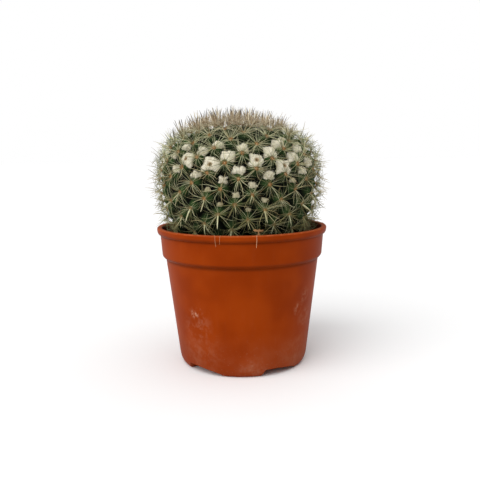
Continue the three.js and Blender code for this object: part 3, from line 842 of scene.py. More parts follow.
def find_hollows(tips):
    """Triangles of neighbouring tips, the direction of the hollow in each, and the pairs of
    hollows that a crease joins."""
    middle = np.array([PLANT_X, 0, MIDDLE_Z])
    neck = polar(NECK_RADIUS, full_turn(NECK_SIDES), NECK_Z, PLANT_X)
    spokes = np.concatenate([tips.point, neck, [middle - np.array([0, 0, 1])]]) - middle
    spokes /= np.linalg.norm(spokes, axis=1)[:, None]
    shell = bmesh.new()
    for spoke in spokes:
        shell.verts.new(spoke)
    shell.verts.index_update()
    bmesh.ops.convex_hull(shell, input=shell.verts)
    triangles = [[vert.index for vert in face.verts] for face in shell.faces]
    shell.free()
    triangles = [corners for corners in triangles if min(corners) < len(tips.point)]

    corners = spokes[np.array(triangles)]
    hollows = np.cross(corners[:, 1] - corners[:, 0], corners[:, 2] - corners[:, 0])
    hollows *= np.sign(np.sum(hollows * corners[:, 0], axis=1))[:, None]
    hollows /= np.linalg.norm(hollows, axis=1)[:, None]
    sides = {}
    for i, (a, b, c) in enumerate(triangles):
        for edge in ((a, b), (b, c), (c, a)):
            sides.setdefault(frozenset(edge), []).append(i)
    creases = [pair for pair in sides.values() if len(pair) == 2]
    return triangles, hollows, creases


def join_close_hollows(hollows, creases):
    """Where four tubercles meet, the two hollows between them become one."""
    owner = list(range(len(hollows)))
    joined = hollows.copy()

    def find(i):
        return i if owner[i] == i else find(owner[i])

    for first, second in creases:
        a, b = find(first), find(second)
        ends = along_direction(joined[[a, b]])
        apart = np.linalg.norm(ends.point[0] - ends.point[1])
        if a != b and apart <= JOIN_SHARE * ends.size[0]:
            owner[b] = a
            joined[a] += joined[b]
            joined[a] /= np.linalg.norm(joined[a])
    return [find(i) for i in range(len(hollows))], joined


# Materials


class Finish(Board):
    """A material whose colour, roughness and relief come from nodes."""

    def __init__(self, name):
        self.material = bpy.data.materials.new(name)
        self.material.use_nodes = True
        super().__init__(self.material.node_tree)
        self.tree.nodes.clear()
        self.place = self.node("ShaderNodeTexCoord", out="Object")

    def attribute(self, name):
        return self.node("ShaderNodeAttribute", out="Fac", attribute_name=name)

    def bump(self, height, depth, strength):
        return self.node("ShaderNodeBump", {
            "Height": height, "Distance": depth, "Strength": strength}, "Normal")

    def finish(self, **sockets):
        named = {label.replace("_", " "): value for label, value in sockets.items()}
        surface = self.node("ShaderNodeBsdfPrincipled", named, "BSDF")
        self.node("ShaderNodeOutputMaterial", {"Surface": surface})
        return self.material


def pot_finish(settings):
    """Satin plastic: dust low down, limescale, painted shade in the creases under the lip and the
    collar, a painted highlight along the lip's top and a mouth that the soil has stained."""
    board = Finish("burnt_orange_plastic")
    x, y, z = board.split(board.place)
    broad = board.noise(26 * MM, 2.0)
    patches = board.noise(8 * MM, 5.0, roughness=0.62)
    grain = board.noise(0.9 * MM, 4.0)
    streaks = board.noise(3.2 * MM, 3.0, board.join(x, y, z * 0.12))

    low = 1 - board.ramp(z, 0.0, DUSTY_Z)
    specks = board.ramp(board.noise(1.5 * MM, 3.0), 0.60, 0.72)
    film = board.ramp(broad * 0.6 + patches * 0.4, 0.38, 0.70) * (0.01 + 0.24 * low)
    film = film + 0.05 * low + 0.02 * board.ramp(streaks, 0.55, 0.8)
    film = board.clamp((film + specks * (0.03 + 0.20 * low)) * settings.dust)

    flecks = patches * 0.6 + board.noise(2.4 * MM, 2.0) * 0.4
    lime = 0.0
    for azimuth, height, spread, strength in LIMESCALE:
        spot = polar(wall_radius(height), azimuth, height)
        near = board.clamp(1 - board.length(board.place - tuple(spot)) / spread)
        lime = near * board.ramp(flecks, 0.42, 0.64) * strength + lime
    lime = board.clamp(lime * settings.lime)

    # Painted shade in the creases under the lip and under the collar, patchy in strength
    crease = 1 - board.ramp(board.math("ABSOLUTE", z - UNDER_LIP_Z), *UNDER_LIP_REACH)
    step = 1 - board.ramp(board.math("ABSOLUTE", z - UNDER_COLLAR_Z), *UNDER_COLLAR_REACH)
    painted_crease_shade = board.clamp(crease + step) * (0.25 + 0.4 * patches)
    # Painted highlight along the lip's top, broken up in patches
    lip = board.ramp(z, *LIP_HIGHLIGHT_Z)
    lip_highlight = lip * (0.35 + 0.65 * board.ramp(board.noise(1.3 * MM, 4.0), 0.45, 0.7))
    inner = 1 - board.ramp(board.radius(x, y), COLLAR_LOW_RADIUS - WALL, COLLAR_LOW_RADIUS)
    mouth = inner * board.ramp(z, SHOULDER_Z + WALL, COLLAR_LOW_Z)
    wet = 1 - board.ramp(z, *STAINED_Z)
    stain = mouth * wet * board.ramp(patches, 0.3, 0.55)

    colour = board.coats(
        settings.deep_colour, (board.ramp(broad, 0.34, 0.66), settings.colour),
        (film, settings.dust_colour), (lime, settings.lime_colour),
        (painted_crease_shade, settings.grime_colour), (lip_highlight * 0.75, settings.worn_colour),
        (stain * 0.8, settings.stain_colour))
    relief = grain * 0.5 + patches * 0.5 + (film + lime) * 0.6
    return board.finish(Base_Color=colour, Roughness=0.40 + 0.32 * film + 0.08 * grain,
                        Normal=board.bump(relief, 0.09 * MM, 0.6), Specular_IOR_Level=0.03)


def soil_finish(name, settings):
    """Dark peat with brown bits in it."""
    board = Finish(name)
    clods = board.noise(2.6 * MM, 5.0, roughness=0.65)
    bits = board.noise(0.7 * MM, 3.0)
    bark = board.ramp(board.attribute("tint") * 0.6 + bits * 0.6, 0.72, 0.9)
    colour = board.coats(
        settings.dark_colour, (board.ramp(clods, 0.35, 0.7), settings.colour),
        (bark, settings.bark_colour))
    return board.finish(Base_Color=colour, Roughness=0.78 + 0.2 * bits,
                        Normal=board.bump(clods + bits * 0.5, 0.5 * MM, 0.9),
                        Specular_IOR_Level=0.05)


def flesh_finish(settings):
    """Blue-green skin with fine pale dots, and painted shade in the creases, on undersides, low
    down and near the soil.
    """
    board = Finish("cactus_flesh")
    hollow = board.attribute("hollow")
    blotches = board.noise(4.5 * MM, 4.0)
    height = board.split(board.place)[2]
    # Painted shade low on the stem, in blotches
    aged = (1 - board.ramp(height, *SHADED_SKIN_Z)) * board.ramp(blotches, 0.38, 0.62)
    # Painted shade on the undersides of the tubercles, where the skin faces further down than the
    # smooth stem did
    facing = board.split(board.node("ShaderNodeNewGeometry", out="Normal"))[2]
    underside_shade = board.ramp(board.attribute("level") - facing, 0.0, 0.45)
    dots = board.node("ShaderNodeTexVoronoi", {
        "Vector": board.place, "Scale": 1 / (0.85 * MM)}, "Distance")
    speck = (1 - board.ramp(dots, 0.10, 0.22)) * (1 - hollow)
    # Painted shade near the soil
    base_shade = 1 - board.ramp(height, *BASE_SHADE_Z)
    # The skin's shade colour is painted shade: it fills the creases and darkens the undersides,
    # the low stem and the base
    dark = settings.crease_colour
    colour = board.coats(
        settings.flesh_colour, (board.ramp(blotches, 0.3, 0.7), settings.young_colour),
        (aged * 0.6, dark), (underside_shade * 0.5, dark), (board.ramp(hollow, 0.28, 0.88), dark),
        (speck * 0.45, settings.speck_colour), (base_shade * 0.7, dark))
    relief = board.noise(0.5 * MM, 3.0) * 0.5 + blotches
    return board.finish(Base_Color=colour, Roughness=0.46 + 0.22 * blotches,
                        Normal=board.bump(relief, 0.12 * MM, 0.7), Specular_IOR_Level=0.06)


def needle_finish(name, settings, light, dull, redness):
    """Needles from light to dull with amber roots. They are ochre low down, painted with a tan
    glow of backlight where they stand out furthest, and rosy in the crown. Some have a dark tip,
    and redness says how many."""
    board = Finish(name)
    along = board.attribute("along")
    tint = board.attribute("tint")
    mottle = board.noise(1.4 * MM, 2.0)
    patches = board.noise(7 * MM, 2.0)
    x, y, height = board.split(board.place)
    aged = board.ramp(tint, 0.0, 0.66)
    high = board.ramp(height, *YOUNG_NEEDLE_Z)
    low = 1 - board.ramp(height, *OLD_NEEDLE_Z)
    # Painted glow of backlight: needle ends turn tan where they stand out furthest from the
    # plant's axis
    outline_glow = board.ramp(board.radius(x - PLANT_X, y), *GLOW_RADIUS)
    rooted = 1 - board.ramp(along + 0.08 * mottle, 0.06, 0.18)
    flush = board.ramp(tint + redness, 0.72, 1.0) * (0.3 + 0.7 * high)
    tip = board.ramp(along, 0.56, 0.78) * flush
    rosy = board.mix(aged, settings.young_colour, settings.rosy_colour)
    root = board.mix(low * 0.7, settings.amber_colour, settings.ochre_colour)
    colour = board.coats(
        light, (aged, dull), (high * 0.8, rosy),
        (low * board.ramp(patches, 0.35, 0.65) * 0.8, settings.ochre_colour),
        (outline_glow * 0.7, settings.bleached_colour), (rooted, root),
        (flush * 0.3, settings.flush_colour), (tip, settings.tip_colour))
    return board.finish(Base_Color=colour, Roughness=0.42 + 0.2 * mottle,
                        Normal=board.bump(mottle, 0.03 * MM, 0.5), Specular_IOR_Level=0.12)


def areole_finish(settings):
    """Amber felt with a cream nap, browner low down."""
    board = Finish("areole_felt")
    nap = board.noise(0.35 * MM, 4.0)
    low = 1 - board.ramp(board.split(board.place)[2], *OLD_FELT_Z)
    colour = board.coats(
        settings.amber_colour, (low * 0.8, settings.felt_colour),
        (board.ramp(nap, 0.45, 0.75), settings.cream_colour))
    return board.finish(Base_Color=colour, Roughness=0.85 + 0.1 * nap,
                        Normal=board.bump(nap, 0.25 * MM, 0.9))


def wool_finish(name, settings):
    """Off-white wool with painted light and shade in small patches, straw on small old tufts and
    brown down in the pits.
    """
    board = Finish(name)
    pit = board.attribute("pit")
    age = board.attribute("age")
    tufts = board.noise(1.1 * MM, 4.0, roughness=0.6)
    strands = board.noise(0.3 * MM, 3.0)
    # Painted light and shade: the lit wool colour over the shade colour in small patches, shadier
    # on older tufts
    lit_wool = board.ramp(tufts * 0.7 + strands * 0.3 - age * 0.1, 0.32, 0.58)
    colour = board.coats(
        settings.shade_colour, (lit_wool, settings.colour),
        (board.ramp(age, 0.35, 0.75) * 0.7, settings.straw_colour),
        (board.ramp(pit, 0.05, 0.6), settings.edge_colour),
        (board.ramp(pit, 0.5, 1.0), settings.pit_colour))
    return board.finish(Base_Color=colour, Roughness=0.9 + 0.08 * strands,
                        Normal=board.bump(tufts + strands * 0.5, 0.35 * MM, 0.8))


def dry_finish(settings):
    """Papery tan remains of a flower."""
    board = Finish("dry_petal")
    fibres = board.noise(0.6 * MM, 4.0)
    colour = board.mix(fibres, settings.petal_colour, settings.dark_petal_colour)
    return board.finish(Base_Color=colour, Roughness=0.7 + 0.2 * fibres,
                        Normal=board.bump(fibres, 0.2 * MM, 0.8))


def thread_finish(settings):
    """Pale strands of dry root."""
    board = Finish("stray_thread")
    fibres = board.noise(0.8 * MM, 3.0)
    colour = board.mix(fibres * 0.6, settings.thread_colour, settings.petal_colour)
    return board.finish(Base_Color=colour, Roughness=0.6 + 0.2 * fibres,
                        Normal=board.bump(fibres, 0.05 * MM, 0.6))


def floor_finish(settings):
    board = Finish("studio_floor")
    sweep = board.noise(0.4, 2.0)
    colour = board.mix(sweep * 0.04, settings.floor_colour, paint(236, 236, 236))
    return board.finish(Base_Color=colour, Roughness=0.8)


# Settings that a user would change


def colour_setting(name, description, red, green, blue):
    return bpy.props.FloatVectorProperty(
        name=name, description=description, default=paint(red, green, blue), size=4, min=0.0,
        max=1.0, subtype="COLOR")


def length_setting(name, description, default):
    return bpy.props.FloatProperty(
        name=name, description=description, default=default, min=0.0, unit="LENGTH",
        precision=5)


def share_setting(name, description, default, most=1.0):
    return bpy.props.FloatProperty(
        name=name, description=description, default=default, min=0.0, max=most,
        subtype="FACTOR")


def angle_setting(name, description, default):
    return bpy.props.FloatProperty(
        name=name, description=description, default=math.radians(default), unit="ROTATION")


def count_setting(name, description, default):
    return bpy.props.IntProperty(name=name, description=description, default=default, min=1)


class PotSettings(bpy.types.PropertyGroup):
    segments: count_setting("Segments", "Sides of the turned wall", 480)
    colour: colour_setting("Plastic", "Burnt orange of the lit wall", 146, 54, 2)
    deep_colour: colour_setting("Deep plastic", "Darker orange in broad areas", 133, 46, 1)
    dust_colour: colour_setting("Dust", "Dry film of dust", 142, 112, 92)
    lime_colour: colour_setting("Limescale", "Marks that dried water left", 190, 140, 112)
    # Colour of the painted shade under the lip and the collar
    grime_colour: colour_setting("Crease shade", "Painted shade under the lip and the collar", 72, 26, 3)
    # Colour of the painted highlight along the lip's top
    worn_colour: colour_setting("Lip highlight", "Painted highlight on the lip", 196, 104, 62)
    stain_colour: colour_setting("Stain", "Soil that clings to the inside", 58, 34, 22)
    dust: share_setting("Dust amount", "How much film lies on the wall", 0.8)
    lime: share_setting("Limescale amount", "Strength of the marks", 0.5)


class SoilSettings(bpy.types.PropertyGroup):
    bump: length_setting("Bumps", "How far the top rises and falls", 0.9 * MM)
    crumbs: count_setting("Crumbs", "Loose crumbs on the top", 1300)
    crumb_radius: length_setting("Crumb radius", "Radius of an average crumb", 0.75 * MM)
    colour: colour_setting("Peat", "Drier peat", 52, 36, 26)
    dark_colour: colour_setting("Wet peat", "Darkest peat", 20, 15, 12)
    bark_colour: colour_setting("Bark", "Brown bits of bark", 112, 76, 48)


class StemSettings(bpy.types.PropertyGroup):
    sides: count_setting("Sides", "Points round the stem", 448)
    rows: count_setting("Rows", "Rows of points from crown to neck", 168)
    depth: share_setting("Depth", "Depth of the hollows as a share of a tubercle's width",
                         TUBERCLE_DEPTH)
    roundness: share_setting("Roundness", "Higher is blunter tubercles", 1.5, 4.0)
    flesh_colour: colour_setting("Flesh", "Blue-green skin", 40, 61, 28)
    young_colour: colour_setting("Young flesh", "Lighter patches of the skin", 57, 82, 43)
    # Colour of the painted shade on the skin
    crease_colour: colour_setting("Crease", "Painted shade of the skin", 6, 9, 4)
    speck_colour: colour_setting("Specks", "Fine dots in the skin", 120, 130, 96)


class NeedleSettings(bpy.types.PropertyGroup):
    radials: count_setting("Radial needles", "Needles in each star", 25)
    inners: count_setting("Inner needles", "Needles that rise over each star", 10)
    radial_length: length_setting("Radial length", "Length of the star's needles", 9.4 * MM)
    radial_rise: angle_setting("Radial rise", "Rise of the star from the skin", 11.0)
    radial_slimness: share_setting("Radial thickness", "Thickness as a share of length", 0.022)
    uppers: count_setting("Upper needles", "Extra fine needles on each areole of the shoulder", 18)
    inner_slimness: share_setting("Inner thickness", "Thickness as a share of length", 0.04)
    crowns: count_setting("Crown needles", "Upright needles on each young areole", 18)
    central_length: length_setting("Central length", "Length of the middle needle", 6.4 * MM)
    central_rise: angle_setting("Central rise", "Rise of the middle needle", 40.0)
    crown_length: length_setting("Crown length", "Length of the upright crown needles", 8.5 * MM)
    areole_radius: length_setting("Areole radius", "Radius of the felt pad", 0.85 * MM)
    cream_colour: colour_setting("Cream", "Palest needles of the stars", 224, 224, 182)
    grey_colour: colour_setting("Grey", "Weathered needles of the stars", 84, 98, 60)
    white_colour: colour_setting("White", "Central needles", 204, 198, 158)
    tan_colour: colour_setting("Tan", "Palest of the inner needles", 206, 197, 152)
    brown_colour: colour_setting("Brown", "Darkest of the inner needles", 110, 106, 70)
    ochre_colour: colour_setting("Ochre", "Old needles low on the plant", 156, 150, 98)
    young_colour: colour_setting("Young", "Palest needles of the crown", 252, 238, 212)
    rosy_colour: colour_setting("Rosy", "Darkest needles of the crown", 190, 166, 134)
    # Colour of the painted backlight glow on the outermost needle ends
    bleached_colour: colour_setting("Outline glow", "Ends that stand out furthest", 176, 150, 112)
    amber_colour: colour_setting("Amber", "Roots of the needles", 160, 108, 56)
    felt_colour: colour_setting("Felt", "Brown felt of the areoles", 108, 86, 52)
    flush_colour: colour_setting("Flush", "Reddish young needles", 140, 98, 74)
    tip_colour: colour_setting("Tip", "Dark tips of young needles", 50, 34, 24)


class WoolSettings(bpy.types.PropertyGroup):
    radius: length_setting("Radius", "Radius of the largest tuft", 5.8 * MM)
    height: length_setting("Height", "Height of the largest tuft above its hollow", 4.6 * MM)
    density: bpy.props.FloatProperty(
        name="Hairs", description="Hairs on a square metre of wool", default=1.25e6, min=0.0)
    hair_length: length_setting("Hair length", "Length of a wool hair", 1.25 * MM)
    colour: colour_setting("Wool", "Lit wool", 242, 236, 217)
    shade_colour: colour_setting("Wool shade", "Wool in the folds", 206, 196, 168)
    straw_colour: colour_setting("Straw", "Small old tufts", 178, 166, 118)
    edge_colour: colour_setting("Pit edge", "Browned wool round a pit", 160, 132, 92)
    pit_colour: colour_setting("Pit", "Dry pit where a flower was", 62, 42, 26)


class LitterSettings(bpy.types.PropertyGroup):
    thread_radius: length_setting("Thread radius", "Radius of a stray thread", 0.1 * MM)
    thread_colour: colour_setting("Thread", "Stray threads", 226, 178, 142)
    petal_colour: colour_setting("Petal", "Dry petal where it is lit", 186, 140, 88)
    dark_petal_colour: colour_setting("Dark petal", "Veins of the dry petal", 112, 74, 44)


class StageSettings(bpy.types.PropertyGroup):
    floor_colour: colour_setting("Floor", "Pale studio floor", 250, 250, 250)
    sky: share_setting("Fill", "Strength of the even white light", 0.34, 4.0)
    key: share_setting("Key", "Strength of the light from the front left", 2.0, 4.0)
    overhead: share_setting("Overhead", "Strength of the light from overhead", 1.2, 4.0)


# Pot


def wall_radius(z):
    """Radius of the pot's outside at a height on the tapered wall."""
    return np.interp(z, (HEEL_Z, SHOULDER_Z), (HEEL_RADIUS, SHOULDER_RADIUS))


def notch_lift(azimuths):
    """How far the foot's underside is raised: nothing on the feet and to the floor between."""
    pitch = math.tau / NOTCH_COUNT
    off = (azimuths - NOTCH_AZIMUTH + pitch / 2) % pitch - pitch / 2
    steep = np.clip((NOTCH_HALF + off) / NOTCH_STEEP, 0, 1)
    steep = steep * steep * (3 - 2 * steep)
    ease = np.clip((NOTCH_HALF - off) / NOTCH_EASE, 0, 1) ** NOTCH_EASE_POWER
    return NOTCH_LIFT * np.minimum(steep, ease)


def inner_wall(inset=0.0):
    """Inside of the wall from the collar down to the edge of the floor."""
    step = WALL + inset
    floor = FLOOR_Z + FLOOR_THICKNESS + inset
    shoulder = (SHOULDER_RADIUS - step, SHOULDER_Z - WALL / 2)
    heel = (HEEL_RADIUS - step, HEEL_Z + WALL)
    return [(COLLAR_LOW_RADIUS - step, COLLAR_LOW_Z), shoulder, *line(shoulder, heel, 10), heel,
            (HEEL_RADIUS - FLOOR_CORNER - step, floor)]


def pot_rings(segments):
    """Rings of the pot from the middle of its underside round the wall to its floor."""
    azimuths = full_turn(segments)
    lift = notch_lift(azimuths)
    foot_inner = FOOT_RADIUS - FOOT_WIDTH
    mouth = COLLAR_TOP_RADIUS - WALL
    lip_z = POT_HEIGHT - LIP_HEIGHT
    heel = bend((FOOT_RADIUS, 0), HEEL_BEND, (HEEL_RADIUS, HEEL_Z), 12)
    heel_r, heel_z = zip(*heel)
    shoulder = (SHOULDER_RADIUS, SHOULDER_Z)
    rings = [polar(r, azimuths, FLOOR_Z) for r in (POLE_RADIUS, foot_inner - FOOT_DRAFT)]
    rings.append(polar(foot_inner, azimuths, lift))
    for z in heel_z:
        raised = z + lift * (1 - z / HEEL_Z)
        rings.append(polar(np.interp(raised, heel_z, heel_r), azimuths, raised))
    section = [
        *line(heel[-1], shoulder, 24),
        *bend(shoulder, (COLLAR_LOW_RADIUS, SHOULDER_Z + COLLAR_ROUND),
              (COLLAR_LOW_RADIUS, COLLAR_LOW_Z), 8),
        *line((COLLAR_LOW_RADIUS, COLLAR_LOW_Z), (COLLAR_TOP_RADIUS, lip_z), 6),
        *bend((COLLAR_TOP_RADIUS, lip_z), (RIM_RADIUS, lip_z),
              (RIM_RADIUS, POT_HEIGHT - LIP_ROUND), 10),
        *bend((RIM_RADIUS, POT_HEIGHT - LIP_ROUND), (RIM_RADIUS, POT_HEIGHT),
              (RIM_RADIUS - LIP_ROUND, POT_HEIGHT), 6)[1:],
        *bend((mouth + LIP_ROUND, POT_HEIGHT), (mouth, POT_HEIGHT),
              (mouth, POT_HEIGHT - LIP_ROUND), 6),
        *line((mouth, POT_HEIGHT - LIP_ROUND), (COLLAR_LOW_RADIUS - WALL, COLLAR_LOW_Z), 4),
        *inner_wall(),
        (POLE_RADIUS, FLOOR_Z + FLOOR_THICKNESS),
    ]
    rings.extend(polar(r, azimuths, z) for r, z in section)
    return np.array(rings)


def drain_cutter():
    """Upright pegs that cut the drain holes."""
    places = polar(DRAIN_RING_RADIUS, NOTCH_AZIMUTH + full_turn(NOTCH_COUNT), FLOOR_Z)
    pegs = [*[(DRAIN_RADIUS, place) for place in places],
            (CENTRE_DRAIN_RADIUS, polar(0, 0, FLOOR_Z))]
    mesh = bpy.data.meshes.new("drain_cutter")
    with edited(mesh) as cutter:
        for radius, place in pegs:
            bmesh.ops.create_cone(
                cutter, cap_ends=True, segments=40, radius1=radius, radius2=radius,
                depth=4 * FLOOR_THICKNESS, matrix=Matrix.Translation(place))
    return show(mesh)


class BuildPot(bpy.types.Operator):
    """Turns the pot, cuts its drain holes and gives it its plastic"""

    bl_idname = "cactus.build_pot"
    bl_label = "Build Pot"

    def execute(self, context):
        settings = context.scene.cactus_pot
        body = turned_mesh("pot_blank", pot_rings(settings.segments), (0, 0, FLOOR_Z),
                           (0, 0, FLOOR_Z + FLOOR_THICKNESS))
        blank = show(body, pot_finish(settings))
        cutter = drain_cutter()
        cut = blank.modifiers.new("drains", "BOOLEAN")
        cut.operation = "DIFFERENCE"
        cut.solver = "MANIFOLD"
        cut.object = cutter
        mesh = plain_mesh(blank, "pot_shell")
        discard(blank, cutter)
        if not len(mesh.polygons):
            raise RuntimeError("the drain holes could not be cut")
        mesh.set_sharp_from_angle(angle=SHARP_ANGLE)
        carry(show(mesh), "pot_plastic", "pot")
        return {"FINISHED"}


# Soil


def soil_height(x, y, bump):
    """Height of the soil's uneven top."""
    return SOIL_TOP_Z + bump * SOIL_SWELL * ripple((x, y, 0), SOIL_LUMP, SOIL_NOISE)


def soil_rings(settings, sides=240, steps=14):
    """Rings of the soil from the bottom of the stem's hole, over the top and down the wall."""
    azimuths = full_turn(sides)
    edge = COLLAR_LOW_RADIUS - WALL - SOIL_CLEARANCE
    mouth = SOIL_HOLE[-1][0]
    rings = [polar(r, azimuths, z, PLANT_X) for r, z in SOIL_HOLE]
    for share in np.linspace(0, 1, steps + 1)[1:]:
        ring = polar(mouth + (edge - mouth) * share, azimuths, 0.0, PLANT_X * (1 - share))
        ring[:, 2] = [soil_height(x, y, settings.bump) for x, y, _ in ring]
        rings.append(ring)
    lower = [(edge, SOIL_TOP_Z - 2.0 * MM), *inner_wall(SOIL_CLEARANCE)]
    rings.extend(polar(r, azimuths, z) for r, z in lower)
    return np.array(rings)


def scatter_crumbs(settings):
    """Crumbs strewn over the ring of soil between the plant and the wall."""
    draw = np.random.default_rng(CRUMB_SEED)
    count = settings.crumbs
    size = np.clip(draw.lognormal(*CRUMB_SPREAD, count), *CRUMB_SIZES)
    room = size * settings.crumb_radius * CRUMB_WIDEST
    span = COLLAR_LOW_RADIUS - WALL - CRUMB_GAP - room
    radius = np.sqrt(draw.uniform(CRUMB_INNER_RADIUS ** 2, span ** 2))
    places = polar(radius, draw.uniform(0, math.tau, count), 0.0)
    places[:, 2] = [soil_height(x, y, settings.bump) for x, y, _ in places]
    out = draw.normal(0, CRUMB_TILT, (count, 3)) + (0, 0, 1)
    return point_mesh("crumb_points", places, out=out, size=size)


class BuildSoil(bpy.types.Operator):
    """Fills the pot with potting mix and strews crumbs on it"""

    bl_idname = "cactus.build_soil"
    bl_label = "Build Soil"

    def execute(self, context):
        settings = context.scene.cactus_soil
        finish = soil_finish("potting_mix", settings)
        bed = turned_mesh("soil_bed", soil_rings(settings), (PLANT_X, 0, SOIL_HOLE_END_Z),
                          (0, 0, FLOOR_Z + FLOOR_THICKNESS + SOIL_CLEARANCE))
        carry(show(bed, finish), "potting_mix", "soil")
        grow(lump_tree(), "soil_crumbs", scatter_crumbs(settings), "potting_mix",
             Radius=settings.crumb_radius, Flatness=0.7, Unevenness=0.5, Grain=1.1 * MM,
             Detail=1, Seed=3, Material=soil_finish("soil_crumb", settings))
        return {"FINISHED"}


# Stem and areoles


def stem_rings(sides, rows):
    """Rings of the smooth stem and, for each ring, the width of a tubercle there."""
    azimuths = full_turn(sides)
    rings = []
    cells = []
    for s in np.linspace(0, OUTLINE["s"][-1], rows + 1)[1:]:
        place = place_on("s", np.full(sides, s), azimuths)
        fade = (place.z - FADE_LOW_Z) / (LOWEST_AREOLE_Z - FADE_LOW_Z)
        rings.append(place.point)
        cells.append(place.size * np.clip(fade, FADED_CELL, 1))
    for z, radius in STUMP:
        rings.append(polar(radius, azimuths, z, PLANT_X))
        cells.append(np.zeros(sides))
    return np.array(rings), np.concatenate([[0], *cells, [0]])


def tip_mesh(name, keep, size, crown):
    """The kept tips as points to grow needles from, with their directions and sizes."""
    return point_mesh(name, TIPS.point[keep], out=TIPS.out[keep], up=TIPS.up[keep],
                      size=size[keep], crown=crown[keep])


def areole_points(name, lowest_z=LOWEST_AREOLE_Z, highest_z=math.inf):
    """The areoles between two heights, smaller where the tubercles are young."""
    keep = (TIPS.z > lowest_z) & (TIPS.z < highest_z)
    share = np.clip(TIPS.size / FULL_CELL, SMALLEST_AREOLE, 1)
    young = np.minimum(1, YOUNGEST_AREOLE + TIPS.s / YOUNG_REACH)
    return tip_mesh(name, keep, share * young, np.clip(1 - TIPS.s / CROWN_REACH, 0, 1))


def crown_points(name):
    """The young areoles with upright needles. They reach less far down at the front and further
    at the left, where the needles are longer too."""
    x, y, _ = TIPS.point.T
    front = np.maximum(0, FRONT_EDGE_Y - y)
    share = TIPS.s / (YOUNG_NEEDLE_REACH - CROWN_LEAN * x - FRONT_CUT * front)
    keep = (share > 0) & (share < 1)
    fade = 1 - CROWN_FADE * share ** 2
    size = fade * (1 + LEFT_GROWTH * np.clip(-x / PLANT_RADIUS, *LEFT_LIMITS))
    return tip_mesh(name, keep, size, fade)


class BuildStem(bpy.types.Operator):
    """Models the stem with its tubercles and the felt pads on their tips"""

    bl_idname = "cactus.build_stem"
    bl_label = "Build Stem"

    def execute(self, context):
        settings = context.scene.cactus_stem
        needles = context.scene.cactus_needles
        rings, cells = stem_rings(settings.sides, settings.rows)
        crown = (PLANT_X, 0, WIDEST_Z + RISE_ABOVE - DIMPLE_DEPTH)
        smooth = turned_mesh("stem_source", rings, crown, (PLANT_X, 0, STUMP_END_Z))
        add_attribute(smooth, "cell", cells)
        tips = show(point_mesh("tip_points", TIPS.point))
        creases = show(point_mesh("crease_lines", along_direction(HOLLOWS).point, CREASES))
        grow(tubercle_tree(), "stem", smooth, "plant", "cactus", Tips=tips, Creases=creases,
             Depth=settings.depth, Roundness=settings.roundness,
             Material=flesh_finish(settings))
        discard(tips, creases)
        grow(lump_tree(), "areoles", areole_points("areole_source"), "plant",
             Radius=needles.areole_radius, Flatness=0.55, Unevenness=0.35, Grain=0.6 * MM,
             Seed=5, Material=areole_finish(needles))
        return {"FINISHED"}


# Needles


class BuildNeedles(bpy.types.Operator):
    """Grows the stars of radial needles, the central needles and the upright crown"""

    bl_idname = "cactus.build_needles"
    bl_label = "Build Needles"

    def execute(self, context):
        settings = context.scene.cactus_needles
        tree = needle_tree()
        pad = settings.areole_radius
        cream, grey = settings.cream_colour, settings.grey_colour
        pale = needle_finish("pale_needle", settings, cream, grey, -0.14)
        white = needle_finish("central_needle", settings, settings.white_colour, cream, 0.1)
        tan = needle_finish("tan_needle", settings, settings.tan_colour, settings.brown_colour,
                            0.05)
        flushed = needle_finish("crown_needle", settings, cream, grey, 0.5)
        grow(tree, "radial_needles", areole_points("radial_source"), "plant",
             Count=settings.radials, Length=settings.radial_length,
             Slimness=settings.radial_slimness, Ring=0.8 * pad, Rise=settings.radial_rise,
             Sway=0.8, Crown_rise=0.7, Scatter=0.36, Bow=0.26, Sides=3, Seed=11,
             Material=pale)
        grow(tree, "inner_needles", areole_points("inner_source"), "plant",
             Count=settings.inners, Length=0.92 * settings.radial_length,
             Slimness=settings.inner_slimness, Ring=0.5 * pad, First_angle=0.4,
             Rise=settings.radial_rise + INNER_RISE, Sway=0.7, Scatter=0.55, Bow=-0.16,
             Seed=14, Material=tan)
        grow(tree, "upper_needles", areole_points("upper_source", UPPER_Z), "plant",
             Count=settings.uppers, Length=settings.radial_length,
             Slimness=0.85 * settings.radial_slimness, Ring=pad, First_angle=0.2,
             Rise=UPPER_RISE, Crown_rise=0.5, Sides=3, Seed=15, Material=white)
        grow(tree, "central_needles", areole_points("central_source", highest_z=CENTRAL_Z),
             "plant", Count=1, Length=settings.central_length, Slimness=0.1, Ring=0.3 * pad,
             First_angle=-math.pi / 2, Rise=settings.central_rise, Scatter=0.35, Bow=0.09,
             Steps=6, Sides=6, Seed=12, Material=white)
        grow(tree, "crown_needles", crown_points("crown_source"), "plant",
             Count=settings.crowns, Length=settings.crown_length, Slimness=0.056,
             Ring=1.4 * pad, Sway=0.4, Rise=CROWN_RISE, Crown_rise=0.35, Lift=0.9, Bow=0.05,
             Seed=13, Material=flushed)
        return {"FINISHED"}


# Litter


def tube_mesh(name, paths, radius):
    """Thin round threads along paths of points, each with its share of the radius."""
    curve = bpy.data.curves.new(name, "CURVE")
    curve.dimensions = "3D"
    curve.bevel_depth = radius
    curve.bevel_resolution = 1
    curve.use_fill_caps = True
    for path, share in paths:
        spline = curve.splines.new("NURBS")
        spline.points.add(len(path) - 1)
        for point, place in zip(spline.points, path):
            point.co = (*place, 1.0)
            point.radius = share
        spline.order_u = 3
        spline.use_endpoint_u = True
    source = add_object(name, curve)
    mesh = plain_mesh(source, name)
    bpy.data.objects.remove(source)
    bpy.data.curves.remove(curve)
    return mesh


def draped_thread(x, lean, drop):
    """Way of a thread from inside the mouth over the front of the lip and down outside it."""
    way = []
    for i, (out, up) in enumerate((*THREAD_WAY, (THREAD_END_OUT, -drop))):
        wave = THREAD_WAVE * math.sin(THREAD_WAVE_STEP * i + THREAD_WAVE_START * x)
        across = x + lean * i / len(THREAD_WAY) + wave
        way.append((across, -math.sqrt((RIM_RADIUS + out) ** 2 - across ** 2), POT_HEIGHT + up))
    return way


